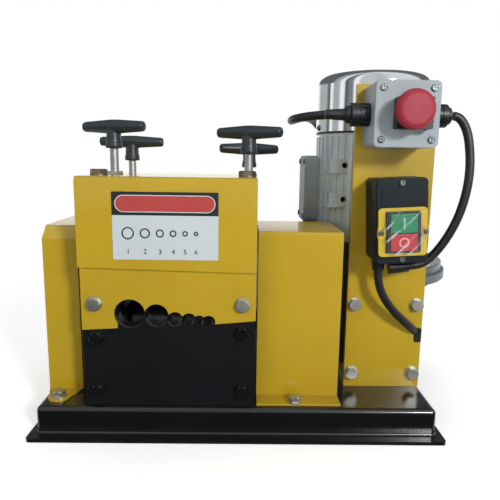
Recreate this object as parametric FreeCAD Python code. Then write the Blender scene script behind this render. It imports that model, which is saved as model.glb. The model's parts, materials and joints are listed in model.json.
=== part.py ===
import FreeCAD, Part
import math
import os

V = FreeCAD.Vector

# Wire stripping machine, in millimetres
# X runs to the right, Y to the back and Z up; the origin is the middle of the base, on the floor

# Fits and gaps
slide_gap = 0.3
running_fit = 0.05
seat_gap = 0.3
bolt_clearance = 0.3

# Base tray
base_length = 448.4
base_depth = 290.0
base_height = 34.4
base_wall = 3.0
base_corner = 5.0
base_edge = 5.5
flange_thickness = 4.0
flange_front = 14.0
flange_side = 8.0

# Head: black front block, side frames and top plate
head_width = 190.0
head_inset = 53.4
head_setback = 10.0
head_height = 252.4
block_thickness = 18.0
frame_thickness = 30.0
frame_depth = 204.0
top_plate_thickness = 12.0
slot_setback = 75.0
slot_length = 110.0
rear_sheet = 3.0
block_bolt_low = 17.6
block_bolt_high = (78.6, 85.2)
block_bolt_inset = 14.5
guide_bolt_height = 152.4
exit_width = 120.0
exit_bottom = 66.0
exit_height = 60.0

# Wire guide: x from the middle of the head, height, radius in the yellow plate, radius in the block
guide_holes = (
    (-42.6, 140.4, 17.0, 15.3),
    (-13.5, 138.5, 13.6, 11.9),
    (6.8, 134.4, 9.1, 7.6),
    (21.9, 133.9, 8.4, 6.6),
    (33.4, 132.9, 7.0, 4.4),
    (43.5, 132.6, 7.2, 5.0),
)
guide_sheet = 3.0
guide_top = 262.0
guide_edge_heights = (122.3, 124.7, 130.2, 134.2)
guide_edge_places = (-95.0, -54.0, 51.0, 95.0)

# Hood over the guide plate
hood_sheet = 2.5
hood_gap = 1.5
hood_drop_left = 96.5
hood_drop_right = 101.0
hood_flange = 55.0
hood_bend = 6.0
hood_overhang = 1.0

# Roller and blade shafts
feed_axis_height = 96.0
shaft_setback = 130.0
shaft_radius = 12.5
roller_radius = 28.0
roller_groove = 2.0
blade_radius = 33.5
blade_thickness = 5.0
blade_hub_radius = 20.0
blade_hub_width = 9.0
gear_module = 3.0
gear_teeth = 21
gear_width = 20.0
gear_backlash = 0.3
gear_gap = 18.5
bearing_radius = 23.5
bearing_width = 12.0
block_height = 59.4
block_lip = 3.0
block_lip_reach = 6.0

# Adjusting screws with T handles: x from the middle of the head, setback, rise above the head, bar turn
screws = {
    "front_left": (-73.2, 85.0, 65.6, -22.0),
    "front_right": (85.7, 85.0, 61.1, -27.0),
    "rear_left": (-71.5, 175.0, 51.4, 5.0),
    "rear_right": (87.0, 175.0, 44.2, 22.0),
}
screw_radius = 5.0
screw_pocket_radius = 6.5
screw_pocket_depth = 6.0
handle_length = 84.5
handle_height = 33.0
handle_middle_radius = 8.2
handle_end_radius = 6.0
handle_hub_radius = 9.9
handle_neck_radius = 7.9
handle_foot_height = 5.0
handle_foot_taper = 3.0
lock_nut_flats = 17.0
lock_nut_height = 6.0

# Guards
guard_width = 39.6
guard_setback = 44.6
guard_depth = 170.4
guard_height = 196.6
guard_chamfer_height = 14.0
guard_chamfer_depth = 14.7
guard_step = 6.0
guard_sheet = 2.0
guard_tab_setback = 24.2
guard_tab_radius = 12.5
guard_tab_inset = 18.4
cover_gap = 2.2
cover_width = 95.8
cover_setback = 32.4
cover_depth = 104.6
cover_height = 195.2
cover_sheet = 2.0
cover_tab = 24.4
cover_bolt_setback = 15.1
cover_bolt_shift = -3.8
cover_bend = 3.0
cover_notch_depth = 50.0
cover_notch_height = 160.0
cover_shaft_notch_depth = 27.0
cover_shaft_notch_height = 82.0

# Column
column_width = 92.2
column_inset = 1.9
column_setback = 62.0
column_thickness = 8.0
column_height = 359.0
column_foot_depth = 50.0
column_weld = 2.0
column_bolt_spacing_x = 74.8
column_bolt_spacing_z = 86.4
column_notch_depth = 9.0
column_notch_height = 18.0
column_notch_centre = 101.0

# Gearbox and motor
gear_ratio = 30
worm_distance = 50.0
gearbox_width = 62.0
gearbox_wheel_radius = 50.0
gearbox_foot_height = 16.0
gearbox_foot_thickness = 14.0
gearbox_foot_margin = 7.5
gearbox_neck_width = 50.0
gearbox_neck_height = 72.0
gearbox_web_thickness = 4.0
gearbox_web_depth = 37.0
gearbox_wall = 8.0
gearbox_cover_thickness = 5.0
gearbox_cover_radius = 44.0
gearbox_hub_radius = 19.0
worm_radius = 13.0
worm_half_length = 30.0
worm_wheel_width = 20.0
worm_turns = 8
worm_housing_radius = 28.0
input_flange_bottom = 156.0
input_flange_thickness = 11.0
input_flange_radius = 106.0
motor_flange_thickness = 11.0
motor_flange_radius = 102.0
motor_radius = 73.0
motor_top = 339.6
motor_fin_depth = 2.0
motor_fin_count = 44
motor_fin_gap = 5.0
motor_fin_start = 10.0
motor_wall = 12.0
motor_end_wall = 8.0
motor_neck_height = 6.1
motor_neck_inset = 2.5
motor_shaft_radius = 9.0
rotor_radius = 46.0
fan_radius = 58.0
fan_height = 22.0
fan_blades = 6
fan_cover_radius = 74.0
fan_cover_top = 418.7
fan_cover_sheet = 1.5
fan_cover_shoulder = 14.0
terminal_width = 65.0
terminal_shift = 17.5
terminal_height = 90.0
terminal_bottom = 225.0
terminal_reach = 90.0
terminal_lid = 5.0
terminal_corner = 8.0
terminal_wall = 4.0
terminal_screw_inset = 8.0
motor_foot_width = 24.0
motor_foot_height = 16.0
motor_foot_heights = (295.0, 252.0)
motor_foot_reach = 70.0
motor_foot_angle = 47.0
motor_foot_hole = 3.6
motor_foot_hole_share = 0.55
motor_foot_proud = 10.0
motor_foot_root = 20.0
motor_ledge_reach = 2.0
motor_ledge_thickness = 2.0

# Emergency stop
estop_size = 68.0
estop_corner = 6.0
estop_depth = 52.4
estop_lid_depth = 11.0
estop_wall = 3.0
estop_boss_radius = 6.2
estop_centre_height = 356.8
estop_offset = -4.1
estop_plate_width = 37.0
estop_plate_shift = 3.3
estop_plate_height = 32.0
estop_plate_depth = 13.6
estop_plate_drop = 2.5
estop_stem_radius = 8.0
mushroom_radius = 20.0
mushroom_depth = 11.0
mushroom_gap = 5.0
estop_button_rise = 2.7
estop_button_offset = 0.7

# Start and stop switch
switch_width = 56.0
switch_height = 92.5
switch_depth = 48.0
switch_corner = 5.0
switch_lean = 3.3
switch_centre_height = 245.0
switch_offset = -1.0
switch_wall = 3.0
switch_label_height = 15.0
switch_label_width = 44.0
switch_label_place = 27.0
switch_label_proud = 0.8
bezel_size = 52.5
bezel_thickness = 3.0
bezel_corner = 4.0
bezel_lug_radius = 7.0
bezel_lug_rise = 1.5
bezel_drop = 11.0
switch_frame_width = 37.4
switch_frame_height = 45.0
switch_frame_rise = 3.0
switch_cover_thickness = 1.2
switch_cover_rise = 7.5
button_width = 28.5
green_height = 20.6
red_height = 18.5
button_depth = 12.0
button_gap = 0.35
button_proud = 3.5

# Cable glands and cables
cable_radius = 4.75
gland_radius = 10.5
gland_nut_radius = 12.4
gland_length = 26.0
link_gland_length = 20.0
small_gland_length = 22.0
gland_height = 357.5
gland_back = 26.0
small_gland_radius = 8.0
coil_turns = 3.5
coil_radius = 57.0
coil_pitch = 2 * cable_radius + 0.9
coil_rise = 2 * cable_radius + 0.7
coil_tail = 6 * cable_radius
plug_length = 42.0
plug_width = 29.0
plug_height = 25.0
plug_corner = 4.0
plug_sleeve = 24.0
pin_length = 17.0

# Fasteners: thread radius, width over flats, head height, washer radius, washer thickness
bolt_m8 = (4.0, 13.0, 5.5, 8.4, 1.6)
bolt_m10 = (5.0, 17.0, 5.2, 9.6, 1.5)
cap_radius = 6.5
cap_height = 8.0
cap_thread = 4.0
panel_screw_radius = 3.6
panel_screw_height = 2.0
lug_screw_radius = 2.4
plate_screw_setback = 38.0
plate_screw_inset = 20.0
rear_screw_rise = 24.0
rear_screw_drop = 40.0
base_screw_inset = 32.0
foot_screw_spacing = 66.4
foot_screw_inset = 12.0
hood_bolt_setback = 33.0
hood_bolt_shift = 3.5

# Places worked out from the sizes above
front = -base_depth / 2
base_left = -base_length / 2
base_right = base_length / 2
head_left = base_left + head_inset
head_right = head_left + head_width
head_middle = head_left + head_width / 2
head_top = base_height + head_height
block_front = front + head_setback
frame_front = block_front + block_thickness
frame_back = frame_front + frame_depth
frame_top = head_top - top_plate_thickness
left_frame_inside = head_left + frame_thickness
right_frame_inside = head_right - frame_thickness
gear_distance = gear_module * gear_teeth
blade_axis_height = feed_axis_height + gear_distance
shaft_y = front + shaft_setback
slot_y = front + slot_setback
slot_floor = blade_axis_height - block_height / 2 - seat_gap
hood_front = block_front - guide_sheet - hood_gap - hood_sheet
column_right = base_right - column_inset
column_left = column_right - column_width
column_middle = column_right - column_width / 2
column_front = front + column_setback
column_back = column_front + column_thickness
column_top = base_height + column_height
gearbox_middle = column_middle
motor_y = shaft_y + worm_distance
gearbox_left = gearbox_middle - gearbox_width / 2
gearbox_right = gearbox_middle + gearbox_width / 2
input_flange_top = input_flange_bottom + input_flange_thickness
motor_bottom = input_flange_top + motor_flange_thickness
fan_cover_bottom = motor_top + motor_neck_height
gear_right = head_left - gear_gap
gear_left = gear_right - gear_width
roller_left = left_frame_inside + block_lip
roller_right = right_frame_inside - block_lip
estop_x = column_middle + estop_offset
estop_front = column_front - estop_depth
switch_x = column_middle + switch_offset
switch_front = column_front - switch_depth
button_x = estop_x + estop_button_offset
estop_button_height = estop_centre_height + estop_button_rise


def box(x0, x1, y0, y1, z0, z1):
    return Part.makeBox(x1 - x0, y1 - y0, z1 - z0, V(x0, y0, z0))


def rod_x(radius, x0, x1, y, z):
    return Part.makeCylinder(radius, x1 - x0, V(x0, y, z), V(1, 0, 0))


def rod_y(radius, x, y0, y1, z):
    return Part.makeCylinder(radius, y1 - y0, V(x, y0, z), V(0, 1, 0))


def rod_z(radius, x, y, z0, z1):
    return Part.makeCylinder(radius, z1 - z0, V(x, y, z0), V(0, 0, 1))


def cut(shape, tools):
    tools = list(tools)
    if tools:
        shape = shape.cut(tools)
    return shape


def join(shapes):
    shapes = list(shapes)
    if len(shapes) == 1:
        return shapes[0]
    return shapes[0].fuse(shapes[1:]).removeSplitter()


def round_edges(shape, radius, wanted):
    edges = [edge for edge in shape.Edges if wanted(edge)]
    return shape.makeFillet(radius, edges)


def along(edge, axis):
    """True for a straight edge that runs along the axis."""
    if not isinstance(edge.Curve, Part.Line):
        return False
    return abs(edge.Curve.Direction.dot(axis)) > 0.999


def prism(points, direction):
    """A solid pushed out of the closed outline through the points."""
    outline = Part.makePolygon(list(points) + [points[0]])
    return Part.Face(outline).extrude(direction)


def turned(profile, axis_point, axis):
    """A solid turned about the axis from an outline of points on one side of it."""
    outline = Part.makePolygon(list(profile) + [profile[0]])
    return Part.Face(outline).revolve(axis_point, axis, 360)


def runs(points):
    """Straight edges from each point to the next."""
    return [Part.LineSegment(a, b).toShape() for a, b in zip(points, points[1:])]


def turned_edges(edges, axis_point, axis):
    """A solid turned about the axis from a closed outline of lines and arcs."""
    return Part.Face(Part.Wire(edges)).revolve(axis_point, axis, 360)


def turned_x(profile, y, z):
    """A turned solid about a line along X, from pairs of x and radius."""
    return turned([V(x, y, z + r) for x, r in profile], V(0, y, z), V(1, 0, 0))


def turned_z(profile, x, y):
    """A turned solid about a line along Z, from pairs of z and radius."""
    return turned([V(x + r, y, z) for z, r in profile], V(x, y, 0), V(0, 0, 1))


def place(shape, point, direction):
    """The shape, drawn upward from the origin, set at the point and facing the direction."""
    moved = shape.copy()
    moved.Placement = FreeCAD.Placement(point, FreeCAD.Rotation(V(0, 0, 1), direction))
    return moved


def hexagon(flats, height):
    corner = flats / math.sqrt(3)
    turns = [math.radians(60 * k) for k in range(6)]
    points = [V(corner * math.cos(a), corner * math.sin(a), 0) for a in turns]
    head = prism(points, V(0, 0, height))
    blank = Part.makeCylinder(corner, height)
    blank = blank.makeChamfer(corner - flats / 2, [blank.Edges[0]])
    return head.common(blank)


def hex_bolt(size, point, direction, shank):
    """A hexagon bolt and its washer, seated at the point with its head outward."""
    thread, flats, head, washer_radius, washer = size
    ring = Part.makeCylinder(washer_radius, washer).cut(Part.makeCylinder(thread + 0.2, washer))
    bolt = hexagon(flats, head)
    bolt.translate(V(0, 0, washer))
    bolt = bolt.fuse(Part.makeCylinder(thread, shank + washer, V(0, 0, -shank)))
    return [place(bolt, point, direction), place(ring, point, direction)]


def bolt_hole(size, point, direction, depth):
    """The clear hole for a bolt seated at the point."""
    hole = Part.makeCylinder(size[0] + bolt_clearance, depth + 1, V(0, 0, -depth))
    return place(hole, point, direction)


def cap_screw(point, direction, shank):
    """A socket head screw whose head stands on the point."""
    screw = Part.makeCylinder(cap_radius, cap_height)
    screw = screw.fuse(Part.makeCylinder(cap_thread, shank, V(0, 0, -shank)))
    corner = cap_radius * 0.55
    turns = [math.radians(60 * k) for k in range(6)]
    points = [V(corner * math.cos(a), corner * math.sin(a), cap_height / 2) for a in turns]
    return place(screw.cut(prism(points, V(0, 0, cap_height))), point, direction)


def cap_hole(point, direction, depth):
    hole = Part.makeCylinder(cap_thread + bolt_clearance, depth + 1, V(0, 0, -depth))
    return place(hole, point, direction)


def panel_screw(point, direction, shank, radius=panel_screw_radius):
    """A cross head screw seated on the point."""
    head = Part.makeCylinder(radius, panel_screw_height)
    head = head.makeChamfer(panel_screw_height * 0.4, [head.Edges[0]])
    slot_width = radius * 0.3
    slot_reach = radius * 0.65
    half = panel_screw_height / 2
    for dx, dy in ((slot_reach, slot_width / 2), (slot_width / 2, slot_reach)):
        head = head.cut(box(-dx, dx, -dy, dy, half, panel_screw_height + 1))
    head = head.fuse(Part.makeCylinder(radius * 0.5, shank, V(0, 0, -shank)))
    return place(head, point, direction)


def panel_hole(point, direction, depth, radius=panel_screw_radius):
    hole = Part.makeCylinder(radius * 0.5 + 0.15, depth + 1, V(0, 0, -depth))
    return place(hole, point, direction)


UP = V(0, 0, 1)
DOWN = V(0, 0, -1)
FORWARD = V(0, -1, 0)
BACKWARD = V(0, 1, 0)
LEFT = V(-1, 0, 0)
RIGHT = V(1, 0, 0)

# Bolt seats, shared by the bolts and by the holes that they pass through
bolt_side = head_width / 2 - block_bolt_inset
bolt_columns = (head_middle - bolt_side, head_middle + bolt_side)
guide_front = block_front - guide_sheet
block_bolt_seats = [V(x, block_front, base_height + block_bolt_low) for x in bolt_columns]
block_bolt_seats += [V(x, block_front, base_height + z) for x, z in zip(bolt_columns, block_bolt_high)]
guide_bolt_seats = [V(x, guide_front, guide_bolt_height) for x in bolt_columns]
hood_bolt_y = block_front + hood_bolt_setback
hood_top = head_top + hood_sheet
hood_bolt_seats = [V(x, hood_bolt_y, hood_top) for x in (bolt_columns[0], bolt_columns[1] + hood_bolt_shift)]
guard_bolt_seat = V(base_left + guard_tab_inset, front + guard_tab_setback, base_height + guard_sheet)
cover_left = head_right + cover_gap
cover_right = cover_left + cover_width
cover_bolt_x = (cover_left + cover_right) / 2 + cover_bolt_shift
cover_bolt_seat = V(cover_bolt_x, front + cover_bolt_setback, base_height + cover_sheet)
column_bolt_seats = [
    V(column_middle + side * column_bolt_spacing_x / 2, column_front, feed_axis_height + rise)
    for side in (-1, 1)
    for rise in (-column_bolt_spacing_z / 2, column_bolt_spacing_z / 2)
]
block_bolt_shank = block_thickness + 20.0
guide_bolt_shank = guide_sheet + block_thickness + 12.0
hood_bolt_shank = hood_sheet + top_plate_thickness + 14.0
column_bolt_shank = column_thickness + 14.0
base_bolt_shank = base_wall + guard_sheet + 8.0
frame_middles = (head_left + frame_thickness / 2, head_right - frame_thickness / 2)
plate_screw_ys = (frame_front + plate_screw_setback, frame_back - plate_screw_inset)
plate_screw_seats = [V(x, y, head_top - cap_height) for x in frame_middles for y in plate_screw_ys]
rear_screw_heights = (base_height + rear_screw_rise, head_top - rear_screw_drop)
rear_screw_seats = [V(x, frame_back + rear_sheet, z) for x in frame_middles for z in rear_screw_heights]
base_screw_ys = (frame_front + base_screw_inset, frame_back - base_screw_inset)
base_screw_seats = [V(x, y, base_height - base_wall) for x in frame_middles for y in base_screw_ys]
foot_screw_y = column_back + column_foot_depth - foot_screw_inset
foot_screw_xs = (column_middle - foot_screw_spacing / 2, column_middle + foot_screw_spacing / 2)
foot_screw_seats = [V(x, foot_screw_y, base_height - base_wall) for x in foot_screw_xs]
plate_screw_shank = top_plate_thickness - cap_height + 20.0
rear_screw_shank = rear_sheet + 16.0
base_screw_shank = base_wall + 16.0
foot_screw_shank = base_wall + column_thickness


def base_tray():
    left, right = base_left, base_right
    body = box(left, right, front, -front, 0, base_height)
    body = round_edges(body, base_corner, lambda e: along(e, UP))
    body = round_edges(body, base_edge, lambda e: e.BoundBox.ZMin > base_height - 0.01)
    wall = base_wall
    inside = box(left + wall, right - wall, front + wall, -front - wall, -1, base_height - wall)
    inside = round_edges(inside, base_corner - 2, lambda e: along(e, UP))
    reach = -front + flange_front
    flange = box(left - flange_side, right + flange_side, -reach, reach, 0, flange_thickness)
    flange = round_edges(flange, base_corner, lambda e: along(e, UP))
    tray = body.fuse(flange).removeSplitter()
    corner = [
        e
        for e in tray.Edges
        if abs(e.BoundBox.ZMin - flange_thickness) < 0.01
        and abs(e.BoundBox.ZMax - flange_thickness) < 0.01
        and e.BoundBox.XMin > left - 0.1
        and e.BoundBox.XMax < right + 0.1
        and e.BoundBox.YMin > front - 0.1
        and e.BoundBox.YMax < -front + 0.1
    ]
    tray = tray.makeFillet(flange_thickness * 0.6, corner)
    holes = [bolt_hole(bolt_m8, p, UP, base_bolt_shank) for p in (guard_bolt_seat, cover_bolt_seat)]
    holes += [cap_hole(p, DOWN, base_screw_shank) for p in base_screw_seats + foot_screw_seats]
    return cut(tray, [inside] + holes)


def front_block():
    block = box(head_left, head_right, block_front, frame_front, base_height, head_top)
    cutters = []
    for dx, z, _, radius in guide_holes:
        x = head_middle + dx
        cutters.append(rod_y(radius, x, block_front - 1, frame_front + 1, z))
        mouth = Part.makeCone(radius + 0.01, radius + 1.2, 1.2, V(x, block_front + 1.19, z), FORWARD)
        if radius > 7:
            cutters.append(mouth)
    cutters += [bolt_hole(bolt_m8, p, FORWARD, block_thickness + 1) for p in block_bolt_seats]
    cutters += [bolt_hole(bolt_m8, p, FORWARD, guide_sheet + block_thickness + 1) for p in guide_bolt_seats]
    return cut(block, cutters)


def front_block_bolts():
    bolts = []
    for seat in block_bolt_seats:
        bolts += hex_bolt(bolt_m8, seat, FORWARD, block_bolt_shank)
    return bolts


def guide_plate():
    y = guide_front
    lower = [V(head_middle + x, y, z) for x, z in zip(guide_edge_places, guide_edge_heights)]
    upper = [V(lower[-1].x, y, guide_top), V(lower[0].x, y, guide_top)]
    plate = prism(lower + upper, V(0, guide_sheet, 0))
    cutters = []
    for dx, z, radius, _ in guide_holes:
        cutters.append(rod_y(radius, head_middle + dx, y - 1, y + guide_sheet + 1, z))
        low = guide_edge_heights[0] - 1
        x = head_middle + dx
        half = radius * 0.8
        cutters.append(box(x - half, x + half, y - 1, y + guide_sheet + 1, low, z - radius * 0.6))
    cutters += [bolt_hole(bolt_m8, p, FORWARD, guide_sheet + 1) for p in guide_bolt_seats]
    plate = cut(plate, cutters)
    return max(plate.Solids, key=lambda s: s.Volume)


def hex_bolts():
    """The bright bolts of the guide plate, the two guards, the column and the motor flange."""
    bolts = []
    for seat in guide_bolt_seats:
        bolts += hex_bolt(bolt_m8, seat, FORWARD, guide_bolt_shank)
    for seat in (guard_bolt_seat, cover_bolt_seat):
        bolts += hex_bolt(bolt_m8, seat, UP, base_bolt_shank)
    for seat in column_bolt_seats:
        bolts += hex_bolt(bolt_m8, seat, FORWARD, column_bolt_shank)
    for seat in flange_bolt_seats():
        bolts += hex_bolt(bolt_m8, seat, UP, flange_bolt_shank())
    return bolts


def side_frame(x0, x1, inside):
    """A thick frame with a slot for the sliding bearing block and a seat for the roller bearing."""
    frame = box(x0, x1, frame_front, frame_back, base_height, frame_top)
    cutters = [box(x0 - 1, x1 + 1, slot_y, slot_y + slot_length, slot_floor, frame_top + 1)]
    cutters.append(rod_x(shaft_radius + 1.5, x0 - 1, x1 + 1, shaft_y, feed_axis_height))
    reach = -bearing_width if inside == x1 else bearing_width
    seat = sorted((inside + reach, inside - reach / 12))
    cutters.append(rod_x(bearing_radius, seat[0], seat[1], shaft_y, feed_axis_height))
    cutters += [bolt_hole(bolt_m8, p, FORWARD, block_bolt_shank + 1) for p in block_bolt_seats]
    cutters += [bolt_hole(bolt_m8, p, FORWARD, guide_bolt_shank + 1) for p in guide_bolt_seats]
    cutters += [bolt_hole(bolt_m10, p, UP, hood_bolt_shank + 1) for p in hood_bolt_seats]
    cutters += [cap_hole(p, UP, plate_screw_shank + 1) for p in plate_screw_seats]
    cutters += [cap_hole(p, BACKWARD, rear_screw_shank + 1) for p in rear_screw_seats]
    cutters += [cap_hole(p, DOWN, base_screw_shank + 1) for p in base_screw_seats]
    return cut(frame, cutters)


def screw_places():
    """Each adjusting screw by name: x, y, height of its handle's top and turn of the handle."""
    places = {}
    for name, (x, setback, rise, turn) in screws.items():
        places[name] = (head_middle + x, front + setback, head_top + rise, turn)
    return places


def top_plate():
    plate = box(head_left, head_right, frame_front, frame_back, frame_top, head_top)
    cutters = []
    for x, y, _, _ in screw_places().values():
        cutters.append(rod_z(screw_radius + running_fit, x, y, frame_top - 1, head_top + 1))
    for seat in plate_screw_seats:
        cutters.append(cap_hole(seat, UP, plate_screw_shank))
        cutters.append(rod_z(cap_radius + 0.4, seat.x, seat.y, seat.z, head_top + 1))
    cutters += [bolt_hole(bolt_m10, p, UP, hood_bolt_shank) for p in hood_bolt_seats]
    return cut(plate, cutters)


def frame_screws():
    """Socket head screws of the top plate, the rear plate, the frames' feet and the column's foot."""
    parts = [cap_screw(p, UP, plate_screw_shank) for p in plate_screw_seats]
    parts += [cap_screw(p, BACKWARD, rear_screw_shank) for p in rear_screw_seats]
    parts += [cap_screw(p, DOWN, base_screw_shank) for p in base_screw_seats]
    parts += [cap_screw(p, DOWN, foot_screw_shank) for p in foot_screw_seats]
    return parts


def lock_nuts():
    nuts = []
    for name, (x, y, _, _) in screw_places().items():
        if name.startswith("front"):
            nut = hexagon(lock_nut_flats, lock_nut_height)
            nut = nut.cut(Part.makeCylinder(screw_radius + seat_gap, lock_nut_height))
            nuts.append(place(nut, V(x, y, head_top), UP))
    return nuts


def hood():
    """The folded cover of the head, whose lower edge falls a little towards the right."""
    left = head_left - hood_overhang
    right = head_right
    bottom = hood_top - hood_drop_right
    back = hood_front + hood_flange

    def top_front(edge, y):
        return along(edge, RIGHT) and edge.BoundBox.YMax < y + 0.01 and edge.BoundBox.ZMin > bottom + 1

    outer = box(left, right, hood_front, back, bottom, hood_top)
    outer = round_edges(outer, hood_bend, lambda e: top_front(e, hood_front))
    inner = box(left - 1, right + 1, hood_front + hood_sheet, back + 1, bottom - 1, head_top)
    bend = max(hood_bend - hood_sheet, 0.5)
    inner = round_edges(inner, bend, lambda e: top_front(e, hood_front + hood_sheet))
    wedge = [
        V(left - 1, hood_front - 1, bottom - 1),
        V(right + 1, hood_front - 1, bottom - 1),
        V(right + 1, hood_front - 1, bottom),
        V(left - 1, hood_front - 1, hood_top - hood_drop_left),
    ]
    slant = prism(wedge, V(0, hood_flange + 3, 0))
    holes = [bolt_hole(bolt_m10, p, UP, hood_bolt_shank) for p in hood_bolt_seats]
    return cut(outer, [inner, slant] + holes)


def hood_bolts():
    bolts = []
    for seat in hood_bolt_seats:
        bolts += hex_bolt(bolt_m10, seat, UP, hood_bolt_shank)
    return bolts


def rear_plate():
    plate = box(head_left, head_right, frame_back, frame_back + rear_sheet, base_height, head_top)
    z = base_height + exit_bottom
    half = exit_width / 2
    back = frame_back + rear_sheet + 1
    opening = box(head_middle - half, head_middle + half, frame_back - 1, back, z, z + exit_height)
    opening = round_edges(opening, 6.0, lambda e: along(e, BACKWARD))
    return cut(plate, [opening] + [cap_hole(p, BACKWARD, rear_screw_shank) for p in rear_screw_seats])


def guard_side(y0, inset, x):
    """The outline of the left guard seen from its side, drawn in by the inset."""
    back = front + guard_setback + guard_depth
    top = base_height + guard_height
    rise = guard_chamfer_height
    run = guard_chamfer_depth - (y0 - front - guard_setback)
    bevel = inset * math.tan(math.atan2(run, rise) / 2)
    level = inset * math.tan(math.atan2(rise, run) / 2)
    return [
        V(x, y0 + inset, base_height - (1 if inset else 0)),
        V(x, y0 + inset, top - rise - bevel),
        V(x, y0 + run + level, top - inset),
        V(x, back - inset, top - inset),
        V(x, back - inset, base_height - (1 if inset else 0)),
    ]


def left_guard():
    y0 = front + guard_setback
    left = base_left
    middle = left + guard_width
    right = head_left - seat_gap
    sheet = guard_sheet
    wide = prism(guard_side(y0, 0, left), V(middle - left, 0, 0))
    narrow = prism(guard_side(y0 + guard_step, 0, middle - sheet), V(right - middle + sheet, 0, 0))
    shell = wide.fuse(narrow)
    wide_inside = prism(guard_side(y0, sheet, left + sheet), V(middle - left - 2 * sheet, 0, 0))
    narrow_inside = prism(guard_side(y0 + guard_step, sheet, left + sheet), V(right - left, 0, 0))
    shell = shell.cut([wide_inside, narrow_inside]).removeSplitter()
    seat = guard_bolt_seat
    tab = rod_z(guard_tab_radius, seat.x, seat.y, base_height, seat.z)
    wing = [
        V(left, y0 + guard_sheet, base_height),
        V(left, y0, base_height),
        V(seat.x - guard_tab_radius * 0.75, seat.y - guard_tab_radius * 0.66, base_height),
        V(seat.x + guard_tab_radius * 0.62, seat.y - guard_tab_radius * 0.78, base_height),
        V(middle, y0, base_height),
        V(middle, y0 + guard_sheet, base_height),
    ]
    tab = tab.fuse(prism(wing, V(0, 0, guard_sheet)))
    return cut(join([shell, tab]), [bolt_hole(bolt_m8, seat, UP, base_bolt_shank)])


def right_cover():
    """The folded box over the drive shaft, notched at both sides where the shaft and the gearbox pass."""
    y0 = front + cover_setback
    y1 = y0 + cover_depth
    top = base_height + cover_height
    sheet = cover_sheet
    bottom = base_height - 1

    def top_front(edge):
        return edge.BoundBox.YMax < y0 + 0.01 and edge.BoundBox.ZMin > top - 0.01

    outer = box(cover_left, cover_right, y0, y1, base_height, top)
    outer = round_edges(outer, cover_bend, top_front)
    inner = box(cover_left + sheet, cover_right - sheet, y0 + sheet, y1 + 1, bottom, top - sheet)
    notch_top = base_height + cover_notch_height
    notch = box(cover_right - sheet - 1, cover_right + 1, y1 - cover_notch_depth, y1 + 1, bottom, notch_top)
    shaft_notch = box(
        cover_left - 1, cover_left + sheet + 1, y1 - cover_shaft_notch_depth, y1 + 1,
        bottom, base_height + cover_shaft_notch_height,
    )
    tab = box(cover_left, cover_right, y0 - cover_tab, y0 + sheet, base_height, base_height + sheet)
    shell = outer.cut([inner, notch, shaft_notch]).fuse(tab).removeSplitter()
    return cut(shell, [bolt_hole(bolt_m8, cover_bolt_seat, UP, base_bolt_shank)])


def column():
    plate = box(column_left, column_right, column_front, column_back, base_height, column_top)
    foot = box(
        column_left, column_right, column_front, column_back + column_foot_depth,
        base_height, base_height + column_thickness,
    )
    weld = column_weld
    bead = prism(
        [
            V(column_left, column_back - 0.1, base_height + column_thickness - 0.1),
            V(column_left, column_back + weld, base_height + column_thickness - 0.1),
            V(column_left, column_back - 0.1, base_height + column_thickness + weld),
        ],
        V(column_width, 0, 0),
    )
    body = join([plate, foot, bead])
    half = column_notch_height / 2
    notch = box(
        column_right - column_notch_depth, column_right + 1, column_front - 1, column_back + 1,
        column_notch_centre - half, column_notch_centre + half,
    )
    notch = round_edges(notch, 4.0, lambda e: along(e, BACKWARD) and e.BoundBox.XMax < column_right)
    cutters = [notch]
    cutters += [bolt_hole(bolt_m8, p, FORWARD, column_thickness + 1) for p in column_bolt_seats]
    cutters += [cap_hole(p, DOWN, foot_screw_shank + 1) for p in foot_screw_seats]
    return cut(body, cutters)


def bearing(x0, z):
    """A shaft bearing: a ring with a shallow groove in each face."""
    ring = rod_x(bearing_radius - 0.02, x0, x0 + bearing_width, shaft_y, z)
    middle = (bearing_radius + shaft_radius) / 2
    groove = (bearing_radius - shaft_radius) * 0.22
    bore = rod_x(shaft_radius + running_fit, x0 - 1, x0 + bearing_width + 1, shaft_y, z)
    cutters = [bore]
    for x in (x0 - 1, x0 + bearing_width - 1):
        outer = rod_x(middle + groove, x, x + 2, shaft_y, z)
        cutters.append(outer.cut(rod_x(middle - groove, x, x + 2, shaft_y, z)))
    return cut(ring, cutters)


def lower_bearings():
    places = (left_frame_inside - bearing_width, right_frame_inside)
    return [bearing(x, feed_axis_height) for x in places]


def upper_bearings():
    lip = slide_gap + block_lip
    return [
        bearing(left_frame_inside + lip - bearing_width, blade_axis_height),
        bearing(right_frame_inside - lip, blade_axis_height),
    ]


def bearing_block(outside, inside):
    """A sliding block in its frame's slot, with a lip behind the frame's inner face."""
    toward = 1 if inside > outside else -1
    lip_start = inside + toward * slide_gap
    lip_end = lip_start + toward * block_lip
    z0 = blade_axis_height - block_height / 2
    z1 = z0 + block_height
    y0 = slot_y + slide_gap
    y1 = slot_y + slot_length - slide_gap
    core = box(min(outside, lip_end), max(outside, lip_end), y0, y1, z0, z1)
    lip = box(
        min(lip_start, lip_end), max(lip_start, lip_end), slot_y - block_lip_reach,
        slot_y + slot_length + block_lip_reach, z0, z1,
    )
    body = join([core, lip])
    seat = sorted((lip_end - toward * bearing_width, lip_end + toward))
    cutters = [rod_x(bearing_radius, seat[0], seat[1], shaft_y, blade_axis_height)]
    ends = sorted((outside - toward, lip_end + toward))
    cutters.append(rod_x(shaft_radius + 1.5, ends[0], ends[1], shaft_y, blade_axis_height))
    for x, y, _, _ in screw_places().values():
        cutters.append(rod_z(screw_pocket_radius, x, y, z1 - screw_pocket_depth, z1 + 1))
    return cut(body, cutters)


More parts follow.
